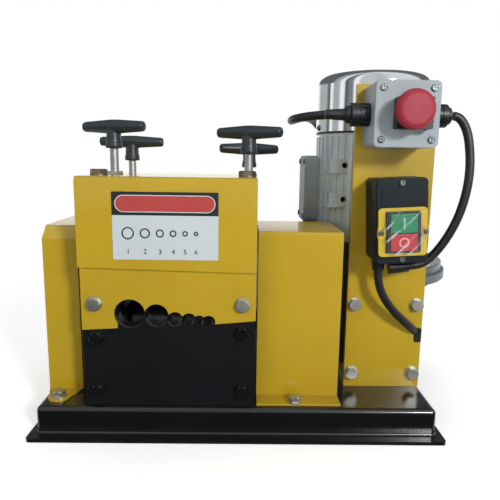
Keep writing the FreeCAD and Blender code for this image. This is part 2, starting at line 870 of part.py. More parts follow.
def spur_gear(x0, z, phase):
    """A spur gear about a line along X, with flanks drawn as arcs close to the involute."""
    pitch = gear_module * gear_teeth / 2
    tip = pitch + gear_module * 0.95
    root = pitch - gear_module * 1.25
    tooth = math.pi / gear_teeth - gear_backlash / pitch
    points = []
    for k in range(gear_teeth):
        middle = phase + 2 * math.pi * k / gear_teeth
        for radius, half in (
            (root, tooth * 0.80),
            (pitch - gear_module * 0.55, tooth * 0.66),
            (pitch, tooth * 0.50),
            (pitch + gear_module * 0.5, tooth * 0.34),
            (tip, tooth * 0.19),
        ):
            points.append((radius, middle - half))
        for radius, half in (
            (tip, tooth * 0.19),
            (pitch + gear_module * 0.5, tooth * 0.34),
            (pitch, tooth * 0.50),
            (pitch - gear_module * 0.55, tooth * 0.66),
            (root, tooth * 0.80),
        ):
            points.append((radius, middle + half))
    outline = [V(x0, shaft_y + r * math.cos(a), z + r * math.sin(a)) for r, a in points]
    blank = prism(outline, V(gear_width, 0, 0))
    web = (gear_width - 8.0) / 2
    cutters = [rod_x(shaft_radius + 0.02, x0 - 1, x0 + gear_width + 1, shaft_y, z)]
    for x in (x0 - 1, x0 + gear_width - web):
        dish = rod_x(root - 4.0, x, x + web + 1, shaft_y, z)
        cutters.append(dish.cut(rod_x(shaft_radius + 6.0, x, x + web + 1, shaft_y, z)))
    return cut(blank, cutters)


def lower_gear():
    return spur_gear(gear_left, feed_axis_height, math.pi / 2)


def upper_gear():
    return spur_gear(gear_left, blade_axis_height, -math.pi / 2 + math.pi / gear_teeth)


def feed_roller():
    """The driven shaft and its grooved roller, from the gears to the gearbox."""
    r = shaft_radius
    left = gear_left - 4.0
    right = gearbox_right + gearbox_cover_thickness + 3.0
    profile = [(left, 0), (left, r - 1), (left + 1, r)]
    profile += [(roller_left, r), (roller_left, roller_radius - 1), (roller_left + 1, roller_radius)]
    for dx, _, _, _ in guide_holes:
        x = head_middle + dx
        groove = roller_groove
        profile += [(x - groove, roller_radius), (x, roller_radius - groove), (x + groove, roller_radius)]
    profile += [(roller_right - 1, roller_radius), (roller_right, roller_radius - 1), (roller_right, r)]
    profile += [(right - 1, r), (right, r - 1), (right, 0)]
    return turned_x(profile, shaft_y, feed_axis_height)


def blade_shaft():
    r = shaft_radius
    left = gear_left - 4.0
    right = head_right - 4.0
    shoulder_left = roller_left + slide_gap + 1
    shoulder_right = roller_right - slide_gap - 1
    hub = blade_hub_width / 2
    first = head_middle + guide_holes[0][0] - hub
    last = head_middle + guide_holes[-1][0] + hub
    collar = r + 4.0
    profile = [
        (left, 0), (left, r - 1), (left + 1, r), (shoulder_left, r), (shoulder_left, collar),
        (first - 0.3, collar), (first - 0.3, r), (last + 0.3, r), (last + 0.3, collar),
        (shoulder_right, collar), (shoulder_right, r), (right - 1, r), (right, r - 1), (right, 0),
    ]
    return turned_x(profile, shaft_y, blade_axis_height)


def blades():
    discs = []
    for dx, _, _, _ in guide_holes:
        x = head_middle + dx
        hub = blade_hub_width / 2
        half = blade_thickness / 2
        bore = shaft_radius + 0.02
        profile = [
            (x - hub, bore), (x - hub, blade_hub_radius), (x - half, blade_hub_radius),
            (x - half, blade_radius - 6.0), (x - 0.25, blade_radius), (x + 0.25, blade_radius),
            (x + half, blade_radius - 6.0), (x + half, blade_hub_radius), (x + hub, blade_hub_radius),
            (x + hub, bore),
        ]
        discs.append(turned_x(profile, shaft_y, blade_axis_height))
    return discs


def handle_screw(name):
    x, y, top, _ = screw_places()[name]
    bottom = blade_axis_height + block_height / 2 - screw_pocket_depth + seat_gap
    hub_bottom = top - handle_height
    profile = [(bottom, 0), (bottom, screw_radius - 1), (bottom + 1, screw_radius)]
    profile += [(hub_bottom, screw_radius), (hub_bottom, 0)]
    return turned_z(profile, x, y)


def handle(name):
    """A moulded T handle: a bar that tapers to rounded ends, on a hub that flares at its foot."""
    x, y, top, turn = screw_places()[name]
    axis_z = top - handle_middle_radius
    half = handle_length / 2
    tip = handle_end_radius
    round_off = tip * 0.45
    profile = [
        (-half, 0), (-half, tip - round_off), (-half + round_off * 0.3, tip - round_off * 0.3),
        (-half + round_off, tip), (-handle_hub_radius * 0.4, handle_middle_radius),
        (handle_hub_radius * 0.4, handle_middle_radius), (half - round_off, tip),
        (half - round_off * 0.3, tip - round_off * 0.3), (half, tip - round_off), (half, 0),
    ]
    bar = turned([V(px, 0, r) for px, r in profile], V(0, 0, 0), V(1, 0, 0))
    foot = handle_middle_radius - handle_height
    hub_profile = [
        (foot, 0), (foot, handle_hub_radius - 0.5), (foot + 0.5, handle_hub_radius),
        (foot + handle_foot_height, handle_hub_radius),
        (foot + handle_foot_height + handle_foot_taper, handle_hub_radius - 1.0),
        (0, handle_neck_radius), (0, 0),
    ]
    hub = turned([V(r, 0, pz) for pz, r in hub_profile], V(0, 0, 0), V(0, 0, 1))
    shape = join([bar, hub])
    shape.rotate(V(0, 0, 0), UP, turn)
    shape.translate(V(x, y, axis_z))
    return shape


def gearbox_housing():
    """A worm gearbox: wheel case, upright worm case, feet and a web to the column, flange for the motor."""
    x0, x1 = gearbox_left, gearbox_right
    z = feed_axis_height
    case = rod_x(gearbox_wheel_radius, x0, x1, shaft_y, z)
    neck_left = gearbox_middle - gearbox_neck_width / 2
    neck_right = gearbox_middle + gearbox_neck_width / 2
    rise = gearbox_neck_height / 2
    neck = box(neck_left, neck_right, column_back, shaft_y, z - rise, z + rise)
    top = z + column_bolt_spacing_z / 2 + gearbox_foot_height / 2
    low = z - column_bolt_spacing_z / 2 - gearbox_foot_height / 2
    parts = [case, neck]
    half = column_bolt_spacing_x / 2 + gearbox_foot_margin
    foot_back = column_back + gearbox_foot_thickness
    for z0 in (low, top - gearbox_foot_height):
        z1 = z0 + gearbox_foot_height
        foot = box(gearbox_middle - half, gearbox_middle + half, column_back, foot_back, z0, z1)
        parts.append(round_edges(foot, 5.0, lambda e: along(e, BACKWARD)))
    parts.append(box(neck_left, neck_right, column_back, foot_back, low, top))
    web_left = gearbox_middle - half
    web_back = column_back + gearbox_web_depth
    web_top = input_flange_bottom + 1
    parts.append(box(web_left, web_left + gearbox_web_thickness, column_back, web_back, low, web_top))
    worm_low = z - gearbox_wheel_radius + 4
    parts.append(rod_z(worm_housing_radius, gearbox_middle, motor_y, worm_low, input_flange_bottom + 1))
    ring = turned_z(
        [
            (input_flange_bottom - 22, 0), (input_flange_bottom - 22, worm_housing_radius + 1),
            (input_flange_bottom, worm_housing_radius + 20), (input_flange_bottom, input_flange_radius - 1),
            (input_flange_bottom + 1, input_flange_radius), (input_flange_top, input_flange_radius),
            (input_flange_top, 0),
        ],
        gearbox_middle, motor_y,
    )
    parts.append(ring)
    housing = join(parts)
    wheel_room = worm_distance - worm_radius
    cutters = [
        rod_x(wheel_room + 1.5, x0 + gearbox_wall, x1 + 1, shaft_y, z),
        rod_x(gearbox_hub_radius + 0.4, x0 - 1, x1 + 1, shaft_y, z),
        rod_z(worm_radius + 2.0, gearbox_middle, motor_y, worm_low + 10, input_flange_bottom - 12),
        rod_z(motor_shaft_radius + running_fit, gearbox_middle, motor_y, worm_low + 5, input_flange_top + 1),
    ]
    cutters += [bolt_hole(bolt_m8, p, FORWARD, column_bolt_shank + 1) for p in column_bolt_seats]
    cutters += [bolt_hole(bolt_m8, p, UP, flange_bolt_shank()) for p in flange_bolt_seats()]
    cutters += [panel_hole(p, RIGHT, 10.0) for p in gearbox_screw_seats()]
    return cut(housing, cutters)


def flange_bolt_seats():
    reach = motor_flange_radius - 11.0
    turns = [math.radians(45 + 90 * k) for k in range(4)]
    centre = V(gearbox_middle, motor_y, motor_bottom)
    return [centre + V(math.cos(a), math.sin(a), 0) * reach for a in turns]


def flange_bolt_shank():
    return motor_flange_thickness + input_flange_thickness + 6.0


def gearbox_screw_seats():
    reach = gearbox_cover_radius - 4.5
    x = gearbox_right + gearbox_cover_thickness
    turns = [math.radians(45 + 90 * k) for k in range(4)]
    return [V(x, shaft_y + reach * math.cos(a), feed_axis_height + reach * math.sin(a)) for a in turns]


def gearbox_cover():
    x0 = gearbox_right
    x1 = x0 + gearbox_cover_thickness
    disc = rod_x(gearbox_cover_radius, x0, x1, shaft_y, feed_axis_height)
    disc = disc.makeChamfer(1.0, [e for e in disc.Edges if e.BoundBox.XMin > x1 - 0.01])
    bore = rod_x(shaft_radius + 0.6, x0 - 1, x1 + 1, shaft_y, feed_axis_height)
    return cut(disc, [bore] + [panel_hole(p, RIGHT, 10.0) for p in gearbox_screw_seats()])


def worm_wheel():
    """The wheel on the roller's shaft, its teeth cut back so that they just clear the worm."""
    z = feed_axis_height
    outer = worm_distance - worm_radius - 0.4
    root = outer - 4.0
    teeth = gear_ratio
    points = []
    for k in range(teeth):
        middle = 2 * math.pi * k / teeth
        step = math.pi / teeth
        for radius, turn in ((root, -0.7), (outer, -0.35), (outer, 0.35), (root, 0.7)):
            points.append((radius, middle + turn * step))
    half = worm_wheel_width / 2
    x = gearbox_middle
    outline = [V(x - half, shaft_y + r * math.cos(a), z + r * math.sin(a)) for r, a in points]
    wheel = prism(outline, V(2 * half, 0, 0))
    hub = rod_x(gearbox_hub_radius, gearbox_left + 1, gearbox_right - 0.5, shaft_y, z)
    bore = rod_x(shaft_radius + 0.02, gearbox_left - 2, gearbox_right + 2, shaft_y, z)
    return cut(join([wheel, hub]), [bore])


def motor_foot(z, side):
    """A foot boss on the motor's front, with its threaded hole and a ledge under it."""
    turn = math.radians(270 + side * motor_foot_angle)
    x = gearbox_middle + motor_foot_reach * math.sin(math.radians(side * motor_foot_angle))
    y = motor_y + motor_foot_reach * math.sin(turn)
    half = motor_foot_width / 2
    root = y + motor_foot_root
    boss = box(x - half, x + half, y - motor_foot_proud, root, z, z + motor_foot_height)
    edge = half + motor_ledge_reach
    lip = y - motor_foot_proud - motor_ledge_reach
    ledge = box(x - edge, x + edge, lip, root, z - motor_ledge_thickness, z)
    hole_x = x - side * half * motor_foot_hole_share
    hole = rod_y(motor_foot_hole, hole_x, lip - 1, y + motor_foot_proud, z + motor_foot_height / 2)
    return join([boss, ledge]), hole


def terminal_front():
    return motor_y + terminal_shift - terminal_width / 2


def terminal_box_shape():
    x0 = gearbox_middle - terminal_reach + terminal_lid
    x1 = gearbox_middle - motor_radius * 0.6
    y0 = terminal_front()
    body = box(x0, x1, y0, y0 + terminal_width, terminal_bottom, terminal_bottom + terminal_height)
    return round_edges(body, terminal_corner, lambda e: along(e, RIGHT))


def motor_body():
    outer = rod_z(motor_radius, gearbox_middle, motor_y, motor_bottom - 0.1, motor_top)
    grooves = []
    reach = motor_radius - motor_fin_depth
    half = motor_fin_gap / 2
    blank = box(reach, motor_radius + 2, -half, half, motor_bottom + motor_fin_start, motor_top + 1)
    for k in range(motor_fin_count):
        groove = blank.copy()
        groove.rotate(V(0, 0, 0), UP, 360 * (k + 0.5) / motor_fin_count)
        groove.translate(V(gearbox_middle, motor_y, 0))
        grooves.append(groove)
    body = outer.cut(Part.makeCompound(grooves))
    flange = turned_z(
        [
            (input_flange_top, 0), (input_flange_top, motor_flange_radius),
            (motor_bottom - 1, motor_flange_radius), (motor_bottom, motor_flange_radius - 1),
            (motor_bottom, 0),
        ],
        gearbox_middle, motor_y,
    )
    neck = rod_z(motor_radius - motor_neck_inset, gearbox_middle, motor_y, motor_top - 1, fan_cover_bottom)
    parts = [body, flange, neck]
    holes = []
    for z in motor_foot_heights:
        for side in (-1, 1):
            boss, hole = motor_foot(z, side)
            parts.append(boss)
            holes.append(hole)
    body = join(parts)
    cutters = holes
    bottom = motor_bottom + motor_end_wall
    top = motor_top - motor_end_wall
    cutters.append(rod_z(motor_radius - motor_wall, gearbox_middle, motor_y, bottom, top))
    bore = motor_shaft_radius + running_fit
    cutters.append(rod_z(bore, gearbox_middle, motor_y, input_flange_top - 1, fan_cover_bottom + 1))
    cutters += [bolt_hole(bolt_m8, p, UP, flange_bolt_shank()) for p in flange_bolt_seats()]
    body = cut(body, cutters)
    saddle = terminal_box_shape()
    return body.cut(saddle)


def motor_rotor():
    """The rotor with its shaft, which carries the fan above and the worm below."""
    r = motor_shaft_radius
    bottom = feed_axis_height - gearbox_wheel_radius + 10
    worm = worm_radius
    worm_top = feed_axis_height + worm_half_length
    worm_low = feed_axis_height - worm_half_length
    profile = [(bottom, 0), (bottom, r), (worm_low, r)]
    pitch = (worm_top - worm_low) / worm_turns
    for k in range(worm_turns):
        z = worm_low + k * pitch
        profile += [(z + 0.1 * pitch, r + 0.5), (z + 0.35 * pitch, worm)]
        profile += [(z + 0.65 * pitch, worm), (z + 0.9 * pitch, r + 0.5)]
    top = fan_cover_bottom + 14 + fan_height
    profile += [
        (worm_top, r), (motor_bottom + 20, r), (motor_bottom + 20, rotor_radius),
        (motor_top - 20, rotor_radius), (motor_top - 20, r), (top, r), (top, 0),
    ]
    return turned_z(profile, gearbox_middle, motor_y)


def cooling_fan():
    z0 = fan_cover_bottom + 10
    hub = rod_z(motor_shaft_radius + 9, gearbox_middle, motor_y, z0, z0 + fan_height)
    disc = rod_z(fan_radius, gearbox_middle, motor_y, z0, z0 + 2.5)
    parts = [hub, disc]
    for k in range(fan_blades):
        blade = box(motor_shaft_radius + 5, fan_radius - 1, -1.2, 1.2, z0 + 1, z0 + fan_height)
        blade.rotate(V(0, 0, 0), UP, 360 * k / fan_blades)
        blade.translate(V(gearbox_middle, motor_y, 0))
        parts.append(blade)
    bore = rod_z(motor_shaft_radius + 0.02, gearbox_middle, motor_y, z0 - 1, z0 + fan_height + 1)
    return join(parts).cut(bore)


def fan_cover():
    """The cover over the fan, with a round shoulder and rings of air holes in its top."""
    r = fan_cover_radius
    s = fan_cover_shoulder
    t = fan_cover_sheet
    z0 = fan_cover_bottom
    z1 = fan_cover_top
    lip = motor_radius - motor_neck_inset

    def spot(reach, z):
        return V(gearbox_middle + reach, motor_y, z)

    shoulder = arc_between(spot(r, z1 - s), spot(r, z1), spot(r - s, z1))
    inner_shoulder = arc_between(spot(r - s, z1 - t), spot(r - t, z1 - t), spot(r - t, z1 - s))
    before = [spot(lip, z0), spot(r, z0), spot(r, z1 - s)]
    between = [spot(r - s, z1), spot(0, z1), spot(0, z1 - t), spot(r - s, z1 - t)]
    after = [spot(r - t, z1 - s), spot(r - t, z0 + 3), spot(lip, z0 + 3), spot(lip, z0)]
    edges = runs(before) + [shoulder] + runs(between) + [inner_shoulder] + runs(after)
    shell = turned_edges(edges, spot(0, 0), UP)
    slots = []
    for ring_radius, count in ((22.0, 8), (38.0, 14), (54.0, 20)):
        for k in range(count):
            turn = 2 * math.pi * k / count
            x = gearbox_middle + ring_radius * math.cos(turn)
            y = motor_y + ring_radius * math.sin(turn)
            slots.append(rod_z(4.0, x, y, z1 - t - 1, z1 + 1))
    slots += [panel_hole(p, d, 8.0) for p, d in fan_cover_screw_seats()]
    return cut(shell, slots)


def fan_cover_screw_seats():
    seats = []
    for k in range(4):
        turn = math.radians(190 + 90 * k)
        d = V(math.cos(turn), math.sin(turn), 0)
        seats.append((V(gearbox_middle, motor_y, fan_cover_bottom + 5.5) + d * fan_cover_radius, d))
    return seats


def terminal_case():
    """The terminal box, scribed to the round of the motor."""
    body = terminal_box_shape()
    inner_x0 = gearbox_middle - terminal_reach + terminal_lid
    wall = terminal_wall
    top = terminal_bottom + terminal_height
    inside = box(
        inner_x0 - 1, gearbox_middle - motor_radius - 3.0, terminal_front() + wall,
        terminal_front() + terminal_width - wall, terminal_bottom + wall, top - wall,
    )
    core = rod_z(motor_radius - motor_fin_depth - 3, gearbox_middle, motor_y, terminal_bottom - 5, top + 5)
    holes = [panel_hole(p, LEFT, 12.0) for p in terminal_screw_seats()]
    return cut(body, [inside, core] + holes)


def terminal_lid_plate():
    x0 = gearbox_middle - terminal_reach
    y0 = terminal_front()
    top = terminal_bottom + terminal_height
    lid = box(x0, x0 + terminal_lid, y0, y0 + terminal_width, terminal_bottom, top)
    lid = round_edges(lid, terminal_corner, lambda e: along(e, RIGHT))
    lid = lid.makeChamfer(1.2, [e for e in lid.Edges if e.BoundBox.XMax < x0 + 0.01])
    return cut(lid, [panel_hole(p, LEFT, 12.0) for p in terminal_screw_seats()])


def terminal_screw_seats():
    x = gearbox_middle - terminal_reach
    y0 = terminal_front()
    z0 = terminal_bottom
    inset = terminal_screw_inset
    return [
        V(x, y, z)
        for y in (y0 + inset, y0 + terminal_width - inset)
        for z in (z0 + inset, z0 + terminal_height - inset)
    ]


def square_case(x, z, width, height, corner, y0, y1):
    body = box(x - width / 2, x + width / 2, y0, y1, z - height / 2, z + height / 2)
    return round_edges(body, corner, lambda e: along(e, BACKWARD))


def estop_screw_seats():
    reach = estop_size / 2 - 8.0
    return [
        V(estop_x + side * reach, estop_front, estop_centre_height + rise)
        for side in (-1, 1)
        for rise in (-reach, reach)
    ]


def estop_box():
    y0 = estop_front + estop_lid_depth
    z = estop_centre_height
    body = square_case(estop_x, z, estop_size, estop_size, estop_corner, y0, column_front)
    inner = estop_size - 2 * estop_wall
    inside = square_case(estop_x, z, inner, inner, estop_corner - 2, y0 - 1, column_front - estop_wall)
    bosses = []
    for seat in estop_screw_seats():
        bosses.append(rod_y(estop_boss_radius, seat.x, y0, column_front - 1, seat.z))
    body = join([body.cut(inside)] + bosses)
    holes = [rod_x(gland_radius - 2.5, estop_x - estop_size, estop_x + estop_size, gland_y(), gland_height)]
    holes += [panel_hole(p, FORWARD, estop_lid_depth + 8) for p in estop_screw_seats()]
    return cut(body, holes)


def estop_lid():
    y1 = estop_front + estop_lid_depth
    z = estop_centre_height
    lid = square_case(estop_x, z, estop_size, estop_size, estop_corner, estop_front, y1)
    lid = lid.makeFillet(1.2, [e for e in lid.Edges if e.BoundBox.YMax < estop_front + 0.01])
    inner = estop_size - 2 * estop_wall
    inside = square_case(estop_x, z, inner, inner, estop_corner - 2, estop_front + estop_wall, y1 + 1)
    bosses = [rod_y(estop_boss_radius, p.x, estop_front + 1, y1, p.z) for p in estop_screw_seats()]
    body = join([lid.cut(inside)] + bosses)
    stem = rod_y(estop_stem_radius + 2.0, button_x, estop_front - 1, y1, estop_button_height)
    return cut(body, [stem] + [panel_hole(p, FORWARD, estop_lid_depth + 1) for p in estop_screw_seats()])


def estop_collar():
    """The black square base of the stop button, clamped through the lid."""
    z = estop_button_height - estop_plate_drop
    y0 = estop_front - estop_plate_depth
    x = button_x + estop_plate_shift
    plate = square_case(x, z, estop_plate_width, estop_plate_height, 2.0, y0, estop_front)
    neck_end = estop_front + estop_wall + 12
    neck = rod_y(estop_stem_radius + 1.8, button_x, estop_front - 1, neck_end, estop_button_height)
    bore = rod_y(estop_stem_radius + running_fit, button_x, y0 - 1, neck_end + 2, estop_button_height)
    return cut(join([plate, neck]), [bore])


def estop_head_back():
    return estop_front - estop_plate_depth - mushroom_gap


def estop_stem():
    """The plunger of the stop button, which slides in its collar."""
    y0 = estop_head_back() - mushroom_depth / 2
    y1 = estop_front + estop_wall + 9.0
    stem = rod_y(estop_stem_radius, button_x, estop_head_back(), y1, estop_button_height)
    nose = rod_y(estop_stem_radius - 2.0, button_x, y0, estop_head_back(), estop_button_height)
    return stem.fuse(nose).removeSplitter()


def estop_button():
    """The red mushroom head, which twists on the plunger to let it out."""
    y1 = estop_head_back() - running_fit
    y0 = y1 - mushroom_depth
    r = mushroom_radius
    profile = [
        (y0, 0), (y0, r - 5.5), (y0 + 0.8, r - 3.6), (y0 + 2.8, r - 1.4), (y0 + 5.5, r - 0.3),
        (y0 + 8.0, r), (y1, r - 0.5), (y1, 0),
    ]
    outline = [V(button_x + reach, y, estop_button_height) for y, reach in profile]
    head = turned(outline, V(button_x, 0, estop_button_height), V(0, 1, 0))
    socket_end = estop_head_back() - mushroom_depth / 2 - running_fit
    socket = rod_y(estop_stem_radius - 2.0 + running_fit, button_x, socket_end, y1 + 1, estop_button_height)
    return head.cut(socket)


def gland_y():
    return column_front - gland_back


def side_gland(x, toward, length):
    """A cable gland on a box's side: ribbed nut and domed clamping cap."""
    r = gland_nut_radius
    nut = length * 0.4
    cap = length * 0.8
    profile = [
        (0, 0), (0, r), (nut, r), (nut, r - 0.9), (nut + 1.2, r - 0.9), (nut + 1.2, r),
        (cap - 1.5, r), (cap - 0.4, r - 0.5), (cap, r - 1.6), (cap, r - 3.0), (length - 1.0, r - 3.4),
        (length, r - 4.6), (length, 0),
    ]
    body = turned([V(rad, 0, h) for h, rad in profile], V(0, 0, 0), V(0, 0, 1))
    ribs = []
    for k in range(12):
        rib = box(r - 1.2, r + 1, -0.8, 0.8, 1.0, nut - 1.0)
        rib.rotate(V(0, 0, 0), UP, 30 * k)
        ribs.append(rib)
    body = body.cut(ribs)
    spigot = Part.makeCylinder(gland_radius - 2.6, estop_wall + 4, V(0, 0, -estop_wall - 4))
    body = body.fuse(spigot).removeSplitter()
    return place(body, V(x, gland_y(), gland_height), V(toward, 0, 0))


def supply_gland():
    """The gland that the mains lead comes out of."""
    return side_gland(estop_x - estop_size / 2, -1, gland_length)


def switch_turn(shape):
    """Leans a shape of the switch with its box, about the middle of the box."""
    leaned = shape.copy()
    leaned.rotate(V(switch_x, 0, switch_centre_height), V(0, 1, 0), -switch_lean)
    return leaned


def switch_case_shape():
    z = switch_centre_height
    return square_case(switch_x, z, switch_width, switch_height, switch_corner, switch_front, column_front)


def switch_screw_seats():
    reach = switch_height / 2 - 5.0
    return [V(switch_x, switch_front, switch_centre_height + side * reach) for side in (-1, 1)]


def bezel_centre():
    return switch_centre_height - bezel_drop


def bezel_screw_seats():
    x = bezel_size / 2 - lug_screw_radius
    y = switch_front - bezel_thickness
    return [V(switch_x + side * x, y, bezel_centre()) for side in (-1, 1)]


def switch_box():
    body = switch_case_shape()
    body = body.makeFillet(1.5, [e for e in body.Edges if e.BoundBox.YMax < switch_front + 0.01])
    w = switch_wall
    inside = square_case(
        switch_x, switch_centre_height, switch_width - 2 * w, switch_height - 2 * w, switch_corner - 2,
        switch_front + w, column_front - w,
    )
    label_z = switch_centre_height + switch_label_place
    label = box(
        switch_x - switch_label_width / 2, switch_x + switch_label_width / 2,
        switch_front - switch_label_proud, switch_front + 0.1,
        label_z - switch_label_height / 2, label_z + switch_label_height / 2,
    )
    window = box(
        switch_x - switch_frame_width / 2, switch_x + switch_frame_width / 2,
        switch_front - 1, switch_front + w + 1,
        bezel_centre() - switch_frame_height / 2, bezel_centre() + switch_frame_height / 2,
    )
    body = join([body, label])
    holes = [panel_hole(p, FORWARD, 10.0) for p in switch_screw_seats()]
    holes += cover_screw_holes()
    return switch_turn(cut(body, [inside, window] + holes))


def cover_screw_seats():
    """Where the heads of the clear cover's screws sit, on its ears."""
    return [p + V(0, -bezel_lug_rise - switch_cover_thickness, 0) for p in bezel_screw_seats()]


def cover_screw_holes():
    depth = bezel_lug_rise + switch_cover_thickness + bezel_thickness + 3
    return [panel_hole(p, FORWARD, depth, lug_screw_radius) for p in cover_screw_seats()]


def switch_bezel():
    """The yellow surround of the push buttons, with a lug at each side for the cover's screws."""
    z = bezel_centre()
    y0 = switch_front - bezel_thickness
    plate = square_case(switch_x, z, bezel_size, bezel_size, bezel_corner, y0, switch_front)
    lugs = [rod_y(bezel_lug_radius, p.x, y0 - bezel_lug_rise, y0 + 0.5, p.z) for p in bezel_screw_seats()]
    bounds = square_case(switch_x, z, bezel_size + 2, bezel_size, bezel_corner, y0 - 2, switch_front)
    lugs = [lug.common(bounds) for lug in lugs]
    window = box(
        switch_x - switch_frame_width / 2, switch_x + switch_frame_width / 2, y0 - 3, switch_front + 1,
        z - switch_frame_height / 2, z + switch_frame_height / 2,
    )
    return switch_turn(cut(join([plate] + lugs), [window] + cover_screw_holes()))


def button_window(x0, x1, z0, z1, y0, y1):
    return box(x0 - button_gap, x1 + button_gap, y0, y1, z0 - button_gap, z1 + button_gap)


def button_edges():
    """Left, right, bottom, dividing line and top of the two buttons, before the switch leans."""
    left = switch_x - button_width / 2
    right = switch_x + button_width / 2
    bottom = bezel_centre() - (green_height + red_height + 3 * button_gap) / 2
    return left, right, bottom, bottom + red_height, bottom + red_height + 3 * button_gap + green_height


def switch_frame():
    """The dark housing of the push buttons, behind the bezel."""
    z = bezel_centre()
    gap = 0.1
    y0 = switch_front - bezel_thickness - switch_frame_rise
    y1 = switch_front + switch_wall + 14.0
    body = box(
        switch_x - switch_frame_width / 2 + gap, switch_x + switch_frame_width / 2 - gap, y0, y1,
        z - switch_frame_height / 2 + gap, z + switch_frame_height / 2 - gap,
    )
    body = round_edges(body, 2.0, lambda e: along(e, BACKWARD))
    body = body.makeFillet(1.0, [e for e in body.Edges if e.BoundBox.YMax < y0 + 0.01])
    left, right, bottom, _, top = button_edges()
    pocket = button_window(left, right, bottom, top, y0 - 1, y1 - 2.0)
    return switch_turn(body.cut(pocket))


def push_button(z0, z1):
    y0 = switch_front - bezel_thickness - switch_frame_rise - button_proud + 1.5
    left, right, _, _, _ = button_edges()
    body = box(left, right, y0, y0 + button_depth, z0, z1)
    return body.makeFillet(0.8, [e for e in body.Edges if e.BoundBox.YMax < y0 + 0.01])


def green_button():
    _, _, _, _, top = button_edges()
    return switch_turn(push_button(top - green_height, top))


def red_button():
    _, _, bottom, middle, _ = button_edges()
    return switch_turn(push_button(bottom, middle))


def switch_cover():
    """The clear splash cover over the buttons, held by the two screws in the bezel's lugs."""
    z = bezel_centre()
    t = switch_cover_thickness
    y1 = switch_front - bezel_thickness - bezel_lug_rise
    y0 = y1 - switch_cover_rise
    w = switch_frame_width + 3.0
    h = switch_frame_height + 3.0
    dome = square_case(switch_x, z, w, h, 4.0, y0, y1)
    dome = dome.makeFillet(2.0, [e for e in dome.Edges if e.BoundBox.YMax < y0 + 0.01])
    inside = square_case(switch_x, z, w - 2 * t, h - 2 * t, 3.0, y0 + t, y1 + 1)
    ears = []
    for seat in bezel_screw_seats():
        ear = rod_y(bezel_lug_radius - 1.5, seat.x, y1 - t, y1, seat.z)
        ears.append(ear.cut(square_case(switch_x, z, w - t, h - t, 3.0, y1 - 3, y1 + 1)))
    body = join([dome.cut(inside)] + ears)
    return switch_turn(cut(body, cover_screw_holes()))


def panel_screws():
    """The cross head screws of the stop box, the switch, the terminal box, the fan cover and the gearbox."""
    parts = [panel_screw(p, FORWARD, estop_lid_depth + 6) for p in estop_screw_seats()]
    parts += [switch_turn(panel_screw(p, FORWARD, 8.0)) for p in switch_screw_seats()]
    reach = bezel_lug_rise + switch_cover_thickness + bezel_thickness + 2
    parts += [switch_turn(panel_screw(p, FORWARD, reach, lug_screw_radius)) for p in cover_screw_seats()]
    parts += [panel_screw(p, LEFT, 10.0) for p in terminal_screw_seats()]
    parts += [panel_screw(p, d, 5.0) for p, d in fan_cover_screw_seats()]
    parts += [panel_screw(p, RIGHT, 9.0) for p in gearbox_screw_seats()]
    return parts


# Cable routes, in millimetres from the origin, point by point

supply_route = (
    (estop_x - estop_size / 2 - gland_length, column_front - gland_back, gland_height),
    (98.6, column_front - gland_back, gland_height),
    (78.1, -101.6, 356.4),
    (63.7, -85.0, 355.1),
    (59.6, -65.4, 354.6),
    (60.4, -41.0, 355.2),
    (64.3, -13.5, 357.4),
    (70.6, 14.0, 360.5),
    (78.3, 42.0, 364.1),
    (87.4, 69.5, 367.6),
    (99.2, 94.5, 368.8),
    (112.6, 116.5, 363.2),
    (125.0, 133.0, 347.5),
    (135.0, 145.0, 321.5),
    (142.0, 154.5, 287.0),
    (146.4, 161.5, 244.5),
    (148.0, 167.5, 197.5),
    (148.0, 173.0, 149.5),
    (145.6, 178.0, 103.0),
    (138.8, 182.5, 61.5),
    (122.5, 185.5, 29.0),
    (96.0, 186.5, 9.5),
    (65.0, 184.5, 5.3),
    (36.0, 180.75, 5.0),
    (10.0, 181.5, 5.0),
)


def arc_between(start, corner, end):
    """The arc that leaves the start toward the corner and reaches the end from it."""
    chord = (start + end) * 0.5
    to_corner = corner - chord
    rise = to_corner.Length
    half = (end - start).Length / 2
    to_corner.normalize()
    middle = chord + to_corner * (half * math.tan(math.atan2(rise, half) / 2))
    return Part.Arc(start, middle, end).toShape()


def bent_tube(points, radius):
    """A tube along straight runs joined by arcs, each as large as its two runs allow."""
    points = [V(*p) for p in points]
    edges = []
    radii = []
    here = points[0]
    for before, corner, after in zip(points, points[1:], points[2:]):
        inward = corner - before
        outward = after - corner
        turn = inward.getAngle(outward)
        reach = 0.45 * min(inward.Length, outward.Length)
        radii.append(reach / math.tan(turn / 2))
        inward.normalize()
        outward.normalize()
        start = corner - inward * reach
        end = corner + outward * reach
        edges.append(Part.LineSegment(here, start).toShape())
        edges.append(arc_between(start, corner, end))
        here = end
    edges.append(Part.LineSegment(here, points[-1]).toShape())
    path = Part.Wire(edges)
    first = points[1] - points[0]
    section = Part.Wire(Part.Circle(points[0], first, radius).toShape())
    tube = path.makePipeShell([section], True, False)
    expected = math.pi * radius * radius * path.Length
    share = round(tube.Volume / expected, 4)
    print("  radii", [round(r) for r in radii], "length", round(path.Length), "volume share", share)
    return tube


link_route = (
    (estop_x + estop_size / 2 + link_gland_length, column_front - gland_back, gland_height),
    (236.5, column_front - gland_back, gland_height),
    (245.5, -110.5, 343.0),
    (249.0, -112.5, 325.0),
    (250.6, -114.5, 303.0),
    (248.9, -115.5, 278.0),
    (243.2, -114.5, 251.0),
    (233.8, -112.5, 227.5),
    (222.5, -110.0, 208.5),
    (211.0, -108.5, 196.3),
    (201.0, -108.2, 192.6),
    (192.0, -108.0, 191.9),
)

